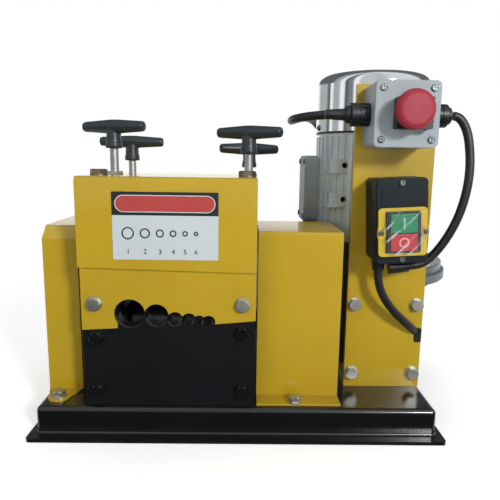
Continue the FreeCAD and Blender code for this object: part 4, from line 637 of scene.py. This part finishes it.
# %% [markdown]
# The mains lead leaves the stop box, goes round the motor and down behind it to the bench. No simple
# formula gives such a route, so it is a list of points.

# %% The route of the mains lead
supply_route = millimetres(
    (112.1, -109.0, 357.5), (98.6, -109.0, 357.5), (78.1, -101.6, 356.4), (63.7, -85.0, 355.1),
    (59.6, -65.4, 354.6), (60.4, -41.0, 355.2), (64.3, -13.5, 357.4), (70.6, 14.0, 360.5),
    (78.3, 42.0, 364.1), (87.4, 69.5, 367.6), (99.2, 94.5, 368.8), (112.6, 116.5, 363.2),
    (125.0, 133.0, 347.5), (135.0, 145.0, 321.5), (142.0, 154.5, 287.0), (146.4, 161.5, 244.5),
    (148.0, 167.5, 197.5), (148.0, 173.0, 149.5), (145.6, 178.0, 103.0), (138.8, 182.5, 61.5),
    (122.5, 185.5, 29.0), (96.0, 186.5, 9.5), (65.0, 184.5, 5.3), (36.0, 180.75, 5.0),
    (10.0, 181.5, 5.0),
)
print("lead route points:", len(supply_route))

# %% [markdown]
# What is left of the lead's length lies behind the tray in a small coil. Its turns are regular, so a
# formula gives them: they wind inward on the bench, climb over half a turn and wind outward again on top.

# %% The mains lead and its coil
COIL_TURNS = 3.5
COIL_RADIUS = 0.057
COIL_PITCH = 0.0104
COIL_RISE = 0.0102
TURN_BACK = 0.25
POINTS_PER_TURN = 16
TAIL = 3 * CABLE


def coil_point(turn):
    """In on the floor for half of the turns, then out again on top of them."""
    half = COIL_TURNS / 2
    away = abs(turn - half)
    rounded = half - (away * away / (2 * TURN_BACK) + TURN_BACK / 2)
    drawn = half - away if away > TURN_BACK else rounded
    radius = COIL_RADIUS - COIL_PITCH * drawn
    climb = min(max((turn - half + TURN_BACK) / (2 * TURN_BACK), 0.0), 1.0)
    angle = -math.pi / 2 - 2 * math.pi * turn
    x, y, z = supply_route[-1]
    return (
        x + radius * math.cos(angle), y + COIL_RADIUS + radius * math.sin(angle),
        z + COIL_RISE * climb * climb * (3 - 2 * climb),
    )


coil = [coil_point(k / POINTS_PER_TURN) for k in range(1, round(COIL_TURNS * POINTS_PER_TURN) + 1)]
coil_end, one_before = Vector(coil[-1]), Vector(coil[-2])
coil_tail = coil_end + (coil_end - one_before).normalized() * TAIL
supply_lead = cable("supply_lead", supply_route + coil + [tuple(coil_tail)], ["supply_cord", "supply_coil"])
# The polished hood of the fan shows clean bands, so the lead stays out of mirror images.
supply_lead.visible_glossy = False

# %% [markdown]
# Two more cables are held at both ends: one from the stop box down to the switch, and one from the switch
# round the edge of the column to the motor. They are drawn in the same way.

# %% The two inner cables
link_lead = cable("link_lead", millimetres(
    (230.1, -109.0, 357.5), (236.5, -109.0, 357.5), (245.5, -110.5, 343.0), (249.0, -112.5, 325.0),
    (250.6, -114.5, 303.0), (248.9, -115.5, 278.0), (243.2, -114.5, 251.0), (233.8, -112.5, 227.5),
    (222.5, -110.0, 208.5), (211.0, -108.5, 196.3), (201.0, -108.2, 192.6), (192.0, -108.0, 191.9),
), ["link_cable"])
motor_lead = cable("motor_lead", millimetres(
    (158.4, -107.0, 187.0), (159.2, -107.0, 173.5), (165.4, -105.5, 156.5), (179.0, -101.5, 137.8),
    (196.5, -95.5, 121.5), (211.0, -87.0, 109.0), (217.8, -72.5, 100.5), (219.5, -48.0, 93.0),
    (220.2, -10.0, 86.0), (219.0, 28.0, 80.0), (212.0, 62.0, 76.0), (192.0, 87.0, 74.0), (160.0, 99.5, 75.0),
    (126.0, 98.0, 84.0), (95.0, 88.0, 103.0), (74.5, 76.5, 131.0), (66.0, 69.0, 157.0), (68.5, 65.0, 180.0),
    (78.0, 63.2, 196.0), (89.8, 62.6, 206.5), (97.6, 62.5, 220.5),
), ["motor_cable"])

# %% [markdown]
# ## Small pieces with a mesh of their own
# The plate on the hood, the marks on the buttons, the sleeve and the tie are flat or banded shapes. All of
# them can be drawn as rings of points that follow one another, so one function joins rings into a mesh, and
# the others only have to say where the rings are.

# %% A mesh from rings
def solid_from_rings(name, rings, cap=True):
    """A mesh from rings of points, each ring joined to the next."""
    count = len(rings[0])
    points = [point for ring in rings for point in ring]
    faces = []
    for r in range(len(rings) - 1):
        for k in range(count):
            n = (k + 1) % count
            faces.append((r * count + k, r * count + n, (r + 1) * count + n, (r + 1) * count + k))
    if cap:
        faces.append(tuple(reversed(range(count))))
        faces.append(tuple(range((len(rings) - 1) * count, len(rings) * count)))
    mesh = bpy.data.meshes.new(name)
    mesh.from_pydata(points, [], faces)
    mesh.update()
    return mesh


def rounded_outline(width, height, corner, steps=8):
    """The outline of a rounded rectangle about the origin, as pairs of x and z, turning one way."""
    spots = []
    for side, end, start in ((1, 1, 0), (-1, 1, 90), (-1, -1, 180), (1, -1, 270)):
        for k in range(steps + 1):
            a = math.radians(start + 90 * k / steps)
            x = side * (width / 2 - corner) + corner * math.cos(a)
            spots.append((x, end * (height / 2 - corner) + corner * math.sin(a)))
    return spots


print("ring helpers ready")

# %% [markdown]
# A stamped plate has a hair of rounding at its front edge, where light catches it. Two rings close together
# give that, and a third one stands at its back. A ring mark is a small four-cornered section that is led
# round a circle, and so is a ring about an upright axis.

# %% Plates and rings
LEAST_CORNER = 0.00005


def plate(name, x, y, z, width, height, corner, thickness, ease=0.0002):
    """A plate that faces the front, with a slightly eased front edge. Its front stands at y."""
    rings = []
    for inset, back in ((ease, 0.0), (0.0, ease), (0.0, thickness)):
        outline = rounded_outline(width - 2 * inset, height - 2 * inset, max(corner - inset, LEAST_CORNER))
        rings.append([(x + px, y + back, z + pz) for px, pz in outline])
    return solid_from_rings(name, rings)


def full_turn(steps):
    return [2 * math.pi * k / steps for k in range(steps + 1)]


def front_ring(name, x, y, z, radius, band, thickness, steps=48):
    """A flat ring that faces the front."""
    section = ((radius, 0.0), (radius - band, 0.0), (radius - band, thickness), (radius, thickness))
    rings = [
        [(x + r * math.cos(a), y + back, z + r * math.sin(a)) for r, back in section]
        for a in full_turn(steps)
    ]
    return solid_from_rings(name, rings, cap=False)


def upright_ring(name, x, y, low, high, inner, outer, steps=96):
    """A ring about an upright axis."""
    section = ((inner, low), (outer, low), (outer, high), (inner, high))
    rings = [[(x + r * math.cos(a), y + r * math.sin(a), z) for r, z in section] for a in full_turn(steps)]
    return solid_from_rings(name, rings, cap=False)


print("plates and rings ready")

# %% [markdown]
# ## The plate on the hood
# The hood carries a plain enamelled plate: a black head with a red bar, and below it six rings that repeat
# the sizes of the six guide holes, numbered from the largest. It helps to choose a hole for a wire. A
# picture on the plate would blur up close, so every colour is a thin piece of its own, each a little
# prouder than the last.

# %% The enamelled plate
SIGN_X, SIGN_WIDTH = -0.0774, 0.1115
SIGN_LOW, SIGN_TOP, HEAD_LOW = 0.2021, 0.274, 0.2494
SIGN_THICKNESS = 0.0006
HOOD_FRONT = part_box("hood")[0].y
sign_front = HOOD_FRONT - SIGN_THICKNESS
sign_middle = (SIGN_LOW + SIGN_TOP) / 2
head_middle = (HEAD_LOW + SIGN_TOP) / 2
bar_middle = head_middle - 0.0001


def sign_piece(name, shape, finish, place=Matrix()):
    return add_piece(name, shape, "machine", finish, place=place)


def sign_layer(name, finish, proud, middle, width, height, corner, thickness, ease=0.00005):
    layer = plate(name, SIGN_X, sign_front - proud, middle, width, height, corner, thickness, ease)
    sign_piece(name, layer, finish)


sign_layer(
    "sign_plate", "white_enamel", 0.0, sign_middle, SIGN_WIDTH, SIGN_TOP - SIGN_LOW, 0.0006, SIGN_THICKNESS,
    ease=0.0002,
)
sign_layer("sign_head", "black_enamel", 0.0001, head_middle, SIGN_WIDTH, SIGN_TOP - HEAD_LOW, 0.0006, 0.0003)
sign_layer("sign_bar_edge", "white_enamel", 0.0002, bar_middle, 0.1052, 0.0182, 0.009, 0.0002)
sign_layer("sign_bar", "red_enamel", 0.0003, bar_middle, 0.1034, 0.0164, 0.0081, 0.0002)
print("plate:", SIGN_WIDTH, "x", round(SIGN_TOP - SIGN_LOW, 4))

# %% [markdown]
# The rings stand in a row with equal gaps, so each place follows from the two radii beside the gap. The
# numbers are text objects, which Blender turns into a mesh, and lie under the middle of their rings.

# %% The rings and their numbers
RING_RADII = (0.0066, 0.0054, 0.0043, 0.0036, 0.003, 0.0024)
RING_LINE, RING_BAND = 0.2305, 0.0014
RING_GAP = 0.006
FIRST_RING = SIGN_X - 0.0395
NUMBER_LINE, NUMBER_SIZE = 0.2085, 0.0075


def sign_number(number, x):
    words = bpy.data.curves.new("sign_number_" + str(number), "FONT")
    words.body = str(number)
    words.size = NUMBER_SIZE
    words.align_x = "CENTER"
    words.extrude = 0.00015
    upright = Matrix.Rotation(math.pi / 2, 4, "X")
    place = Matrix.Translation((x, sign_front - 0.00005, NUMBER_LINE)) @ upright
    sign_piece(words.name, words, "black_enamel", place)


ring_x = FIRST_RING
for number, radius in enumerate(RING_RADII, start=1):
    if number > 1:
        ring_x += radius + RING_RADII[number - 2] + RING_GAP
    ring = front_ring("sign_ring", ring_x, sign_front - 0.0001, RING_LINE, radius, RING_BAND, 0.0003)
    sign_piece("sign_ring_" + str(number), ring, "black_enamel")
    sign_number(number, ring_x)
print("sign rings:", len(RING_RADII), "last at", round(ring_x, 4))

# %% [markdown]
# ## Marks on the push buttons
# The start button carries a bar and the stop button a ring, moulded in white. A mark in the buttons'
# material would need its place measured again there, while a thin piece rides on its button and goes in
# with it. The switch leans a little on the column, so the marks are drawn upright and then leaned about the
# switch's middle.

# %% The bar and the ring
SWITCH_X, SWITCH_MIDDLE = 0.1752, 0.245
SWITCH_LEAN = math.radians(-3.3)
MARK_PROUD, MARK_THICKNESS = 0.00015, 0.0004
middle = Vector((SWITCH_X, 0, SWITCH_MIDDLE))
lean = Matrix.Translation(middle) @ Matrix.Rotation(SWITCH_LEAN, 4, "Y") @ Matrix.Translation(-middle)
mark_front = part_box("green_button")[0].y - MARK_PROUD
start_bar = plate("start_mark", SWITCH_X, mark_front, 0.2438, 0.0018, 0.0125, 0.0008, MARK_THICKNESS)
off_ring = front_ring("off_mark", SWITCH_X, mark_front, 0.2232, 0.0056, 0.0019, MARK_THICKNESS)
for mark, body, finish, slot in (
    (start_bar, "start_button", "print_on_green", "green_plastic"),
    (off_ring, "off_button", "print_on_red", "red_plastic"),
):
    mark.transform(lean)
    add_piece(mark.name, mark, body, finish)
print("button marks at", round(mark_front, 4))

# %% [markdown]
# ## Rubber pieces and painted shade round the column
# The motor cable passes the column's edge in a rubber block. A narrow black strip behind the column's other
# edge is painted shade, which darkens the gap there. A thin dark ring under the rim of the fan's hood is
# painted shade as well, for the shadow that the rim casts. They are simple shapes, so plates and a ring are
# enough.

# %% The rubber block, and the painted-shade strip and ring
RIM_SHADE_INNER, RIM_SHADE_OUTER = 0.0705, 0.0738
BELOW_FAN_COVER = (0.0022, 0.0002)
grommet = plate(
    "cable_grommet", x=0.2178, y=-0.0843, z=0.101, width=0.0088, height=0.0178, corner=0.0016,
    thickness=0.0106, ease=0.0006,
)
# Painted shade: a black strip that darkens the gap behind the column's edge.
shade_strip = plate(
    "gap_shade_strip", x=0.12325, y=-0.0748, z=0.137, width=0.0165, height=0.152, corner=0.001, thickness=0.0012
)
fan_low, fan_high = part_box("fan_cover")
fan_x, fan_y = (fan_low.x + fan_high.x) / 2, (fan_low.y + fan_high.y) / 2
# Painted shade: a thin dark ring for the shadow under the rim of the fan's hood.
rim_shade_low, rim_shade_high = (fan_low.z - drop for drop in BELOW_FAN_COVER)
rim_shade = upright_ring("fan_rim_shade", fan_x, fan_y, rim_shade_low, rim_shade_high, RIM_SHADE_INNER, RIM_SHADE_OUTER)
add_piece("cable_grommet", grommet, "machine", "black_rubber")
add_piece("gap_shade_strip", shade_strip, "machine", "black_satin_paint")
add_piece("fan_rim_shade", rim_shade, "machine", "black_rubber")
print("fan seal below", round(fan_low.z, 4))

# %% [markdown]
# ## The lead's sleeve and the tie
# Where the mains lead leaves its gland, a tapered rubber sleeve keeps it from bending sharply. It is turned
# round the lead's line, so pairs of a distance along the line and a radius say all of its shape.

# %% The tapered sleeve
SLEEVE_SIDES = 40
SLEEVE_CREASE = math.radians(40)
SLEEVE_PROFILE = (
    (-0.004, 0.0068), (0.0, 0.0068), (0.0012, 0.0064), (0.006, 0.0060), (0.012, 0.0056), (0.0180, 0.0052),
    (0.0206, 0.0049), (0.0215, 0.0047),
)


def sleeve(name, start, toward):
    line = Vector(toward).normalized()
    side = line.orthogonal().normalized()
    other = line.cross(side)
    rings = []
    for along, radius in SLEEVE_PROFILE:
        centre = Vector(start) + line * along
        turns = full_turn(SLEEVE_SIDES)[:-1]
        rings.append([tuple(centre + (side * math.cos(a) + other * math.sin(a)) * radius) for a in turns])
    mesh = solid_from_rings(name, rings)
    mesh.shade_smooth()
    mesh.set_sharp_from_angle(angle=SLEEVE_CREASE)
    add_piece(name, mesh, "machine", "black_rubber")


sleeve("lead_sleeve", supply_route[0], (-1, 0, 0))
print("sleeve length", round(SLEEVE_PROFILE[-1][0] - SLEEVE_PROFILE[0][0], 4))

# %% [markdown]
# Round the coil goes a flat tie. A strap bent by hand would be hard to fit, so it is drawn as a band whose
# closed path is a rounded rectangle about the section of the whole coil, from its inmost turn to its
# outmost one.

# %% The tie round the coil
TIE_TURN = math.radians(75)
TIE_WIDTH, TIE_THICKNESS, TIE_EDGE = 0.0045, 0.0011, 0.0002
INMOST_TURN, OUTMOST_TURN = 1.9, 0.05
TIE_BOTTOM, COIL_MIDDLE = 0.0003, 0.0052
OUTER_FLOOR, INNER_FLOOR = 0.0001, 0.0002


def tie_band(name, angle):
    """A strap round all the turns that cross one direction of the coil."""
    centre = Vector((supply_route[-1][0], supply_route[-1][1] + COIL_RADIUS, 0))
    out = Vector((math.cos(angle), math.sin(angle), 0))
    side = Vector((-out.y, out.x, 0))
    low = COIL_RADIUS - COIL_PITCH * INMOST_TURN - CABLE / 2
    high = COIL_RADIUS - COIL_PITCH * OUTMOST_TURN + CABLE / 2
    top = COIL_MIDDLE + COIL_RISE + CABLE / 2
    rings = []
    for shift, grow in (
        (-TIE_WIDTH / 2, TIE_THICKNESS), (-TIE_WIDTH / 2, TIE_EDGE),
        (TIE_WIDTH / 2, TIE_EDGE), (TIE_WIDTH / 2, TIE_THICKNESS),
    ):
        floor_gap = INNER_FLOOR if grow < TIE_THICKNESS else OUTER_FLOOR
        ring = []
        for u, v in rounded_outline(high - low + 2 * grow, top - TIE_BOTTOM + 2 * grow, CABLE / 2 + grow, 6):
            spot = centre + out * ((low + high) / 2 + u) + side * shift
            ring.append((spot.x, spot.y, max((top + TIE_BOTTOM) / 2 + v, floor_gap)))
        rings.append(ring)
    mesh = solid_from_rings(name, rings + rings[:1], cap=False)
    return add_piece(name, mesh, "machine", "black_plastic")


coil_tie = tie_band("coil_tie", TIE_TURN)
print("tie points:", len(coil_tie.data.vertices))

# %% [markdown]
# ## The free cord
# The length of the lead, and that of the other two cables, is read from the curve without its thickness.

def curve_length(piece):
    line = piece.data.copy()
    line.bevel_depth = 0.0
    probe = bpy.data.objects.new("probe", line)
    mesh = bpy.data.meshes.new_from_object(probe)
    spots = [v.co for v in mesh.vertices]
    total = sum((b - a).length for a, b in zip(spots, spots[1:]))
    bpy.data.objects.remove(probe)
    bpy.data.curves.remove(line)
    bpy.data.meshes.remove(mesh)
    return total


for lead in (supply_lead, link_lead, motor_lead):
    print(lead.name, "length:", round(curve_length(lead), 3))

# %% [markdown]
# ## Studio
# The floor is a pale sheet that runs into a white background. Near the machine it keeps its soft shadow,
# and further out it fades to the same white. A bright floor and sky would give the same picture but wash
# the colours out. So only the camera and polished metal see that white, and the light on the machine comes
# from the lamps and a weak even sky.

# %% Helpers for the studio
def math_node(tree, operation, first, second):
    return add_node(tree, "ShaderNodeMath", {"operation": operation}, i0=first, i1=second).outputs[0]


def ramp_between(tree, value, start, end):
    """Nought up to the start, one from the end on, and soft between. The end may be the lower of the two."""
    return add_node(
        tree, "ShaderNodeMapRange", {"interpolation_type": "SMOOTHSTEP"}, i0=value, i1=start, i2=end
    ).outputs[0]


def mixed_shader(tree, share, first, second):
    return add_node(tree, "ShaderNodeMixShader", i0=share, i1=first, i2=second).outputs[0]


def seen_by_camera(tree, ray):
    """One for rays from the camera, whether they come straight or have passed through something clear."""
    return math_node(tree, "MAXIMUM", ray.outputs["Is Camera Ray"], ray.outputs["Is Transmission Ray"])


print("studio helpers ready")

# %% [markdown]
# The floor is one flat square, large enough that its edge is never in view.

# %% The floor
FLOOR_REACH = 6


def studio_floor():
    mesh = bpy.data.meshes.new("studio_floor")
    r = FLOOR_REACH
    mesh.from_pydata([(-r, -r, 0), (r, -r, 0), (r, r, 0), (-r, r, 0)], [], [(0, 1, 2, 3)])
    sheet = bpy.data.objects.new("studio_floor", mesh)
    bpy.context.scene.collection.objects.link(sheet)
    return sheet


floor = studio_floor()
print("floor reaches", FLOOR_REACH)

# %% [markdown]
# Mirror rays see the floor in another way than the camera does. Behind the machine it is white for them, as
# the background is, and in front of the tray it is dark, which keeps the black paint of the tray black. A
# second floor could do that, but one material that asks what kind of ray has hit it is simpler.

# %% The floor's material
FLOOR_TONE = (0.86, 0.86, 0.86, 1.0)
FLOOR_LIFT = 0.42
FADE_NEAR, FADE_FAR = 0.42, 0.85
WHITE_BEHIND = (0.0, 0.3)
DARK_IN_FRONT = (-0.15, -0.166)
DARK_STRENGTH = 0.05

floor_paint = bpy.data.materials.new("studio_floor")
floor_paint.use_nodes = True
tree = floor_paint.node_tree
tree.nodes.clear()
ray = add_node(tree, "ShaderNodeLightPath")
glossy = ray.outputs["Is Glossy Ray"]
place = object_place(tree)
depth = add_node(tree, "ShaderNodeSeparateXYZ", Vector=place).outputs["Y"]
away = add_node(tree, "ShaderNodeVectorMath", {"operation": "LENGTH"}, i0=place).outputs["Value"]
seen = seen_by_camera(tree, ray)
behind = math_node(tree, "MULTIPLY", glossy, ramp_between(tree, depth, *WHITE_BEHIND))
in_front = math_node(tree, "MULTIPLY", glossy, ramp_between(tree, depth, *DARK_IN_FRONT))
far_off = ramp_between(tree, away, FADE_NEAR, FADE_FAR)
fade = math_node(tree, "MULTIPLY", far_off, math_node(tree, "MAXIMUM", seen, behind))
pale = add_node(tree, "ShaderNodeBsdfDiffuse", Color=FLOOR_TONE).outputs[0]
lift_strength = math_node(tree, "MULTIPLY", seen, FLOOR_LIFT)
lift = add_node(tree, "ShaderNodeEmission", Strength=lift_strength).outputs[0]
lifted = add_node(tree, "ShaderNodeAddShader", i0=pale, i1=lift).outputs[0]
white = add_node(tree, "ShaderNodeEmission", Strength=1.0).outputs[0]
dark = add_node(tree, "ShaderNodeEmission", Strength=DARK_STRENGTH).outputs[0]
surface = mixed_shader(tree, in_front, mixed_shader(tree, fade, lifted, white), dark)
add_node(tree, "ShaderNodeOutputMaterial", Surface=surface)
floor.data.materials.append(floor_paint)
print("floor nodes:", len(tree.nodes))

# %% [markdown]
# Polished metal shows what stands round it. A photographer sets up pale screens with dark gaps between
# them. Real screens would also change the light on the machine, so here only mirror rays see them, as
# upright bands of white, grey and black that are laid out by direction, with a dim ceiling at the back.

# %% The mirrored screens
# Each pair is a direction in degrees and a brightness: 0 is the camera's side, 90 the left, 180 the back.
SCREENS = (
    (0, 0.55), (20, 0.62), (38, 0.6), (43, 1.0), (51, 1.0), (54, 0.22), (62, 0.24), (65, 0.13),
    (70, 0.13), (73, 1.0), (81, 1.0), (85, 0.46), (99, 0.46), (101, 1.0), (107, 1.0), (110, 0.14),
    (115, 0.14), (120, 0.46), (148, 0.48), (160, 1.0), (235, 1.0), (245, 0.78), (300, 0.78), (330, 0.75),
    (345, 0.62), (360, 0.55),
)
print("screens and gaps:", len(SCREENS))

# %% [markdown]
# A colour ramp turns the direction round the machine into those bands. The world then answers each kind of
# ray: white for the camera, the screens for mirror rays, and a weak sky for all others.

# %% The background
SCREEN_STRENGTH = 1.2
CEILING_TONE = (0.13, 0.13, 0.14, 1.0)
CEILING_HEIGHT = (0.15, 0.28)
CEILING_DEPTH = (0.0, 0.25)
SKY_TONE, SKY_STRENGTH = (0.94, 0.96, 1.0, 1.0), 0.19
WHITE = (1.0, 1.0, 1.0, 1.0)


def background(tree, tone, strength):
    return add_node(tree, "ShaderNodeBackground", Color=tone, Strength=strength).outputs[0]


world = bpy.data.worlds.new("studio_air")
bpy.context.scene.world = world
world.use_nodes = True
tree = world.node_tree
tree.nodes.clear()
ray = add_node(tree, "ShaderNodeLightPath")
direction = add_node(tree, "ShaderNodeTexCoord").outputs["Generated"]
parts = add_node(tree, "ShaderNodeSeparateXYZ", Vector=direction)
turn = math_node(tree, "ARCTAN2", parts.outputs["X"], parts.outputs["Y"])
round_share = math_node(tree, "ADD", math_node(tree, "DIVIDE", turn, 2 * math.pi), 0.5)
bands = add_node(tree, "ShaderNodeValToRGB", Fac=round_share)
stops = bands.color_ramp.elements
for number, (degrees, strength) in enumerate(SCREENS):
    stop = stops[number] if number < 2 else stops.new(degrees / 360)
    stop.position = degrees / 360
    stop.color = (strength, strength, strength, 1.0)
high_up = ramp_between(tree, parts.outputs["Z"], *CEILING_HEIGHT)
ceiling = math_node(tree, "MULTIPLY", high_up, ramp_between(tree, parts.outputs["Y"], *CEILING_DEPTH))
screens = background(tree, mixed_colour(tree, ceiling, bands.outputs[0], CEILING_TONE), SCREEN_STRENGTH)
sky = background(tree, SKY_TONE, SKY_STRENGTH)
unseen = mixed_shader(tree, ray.outputs["Is Glossy Ray"], sky, screens)
air = mixed_shader(tree, seen_by_camera(tree, ray), unseen, background(tree, WHITE, 1.0))
add_node(tree, "ShaderNodeOutputWorld", Surface=air)
print("stops of the ramp:", len(stops))

# %% [markdown]
# The main lamp stands low at the right of the camera, as the shadow under the stop box tells. A wide soft
# one at the left opens the shadows, and two more light the top and the back. Only the main lamp shows in
# polished metal, where the screens stand for the others. An area lamp is like a real softbox: its size sets
# how soft its shadows are.

# %% The lamps
def softbox(name, place, aim, width, height, watts, mirrored=False):
    lamp = bpy.data.lights.new(name, "AREA")
    lamp.shape = "RECTANGLE"
    lamp.size = width
    lamp.size_y = height
    lamp.energy = watts
    holder = bpy.data.objects.new(name, lamp)
    bpy.context.scene.collection.objects.link(holder)
    holder.location = place
    holder.rotation_euler = (Vector(aim) - Vector(place)).to_track_quat("-Z", "Y").to_euler()
    holder.visible_glossy = mirrored
    print(name, "watts:", watts)


softbox("key_softbox", (0.95, -1.75, 0.95), (0.05, 0.0, 0.2), 0.3, 0.3, 26.0, mirrored=True)
softbox("fill_softbox", (-0.9, -1.6, 0.9), (0.1, 0.0, 0.28), 1.0, 1.2, 6.5)
softbox("top_softbox", (0.0, 0.2, 1.9), (0.0, 0.0, 0.2), 1.6, 1.2, 11.0)
softbox("rear_softbox", (-0.6, 1.7, 1.0), (0.0, 0.1, 0.2), 1.2, 1.0, 8.0)

# %% [markdown]
# ## The end
# The script sets the plain view transform.

# %% Finish
bpy.context.scene.view_settings.view_transform = "Standard"
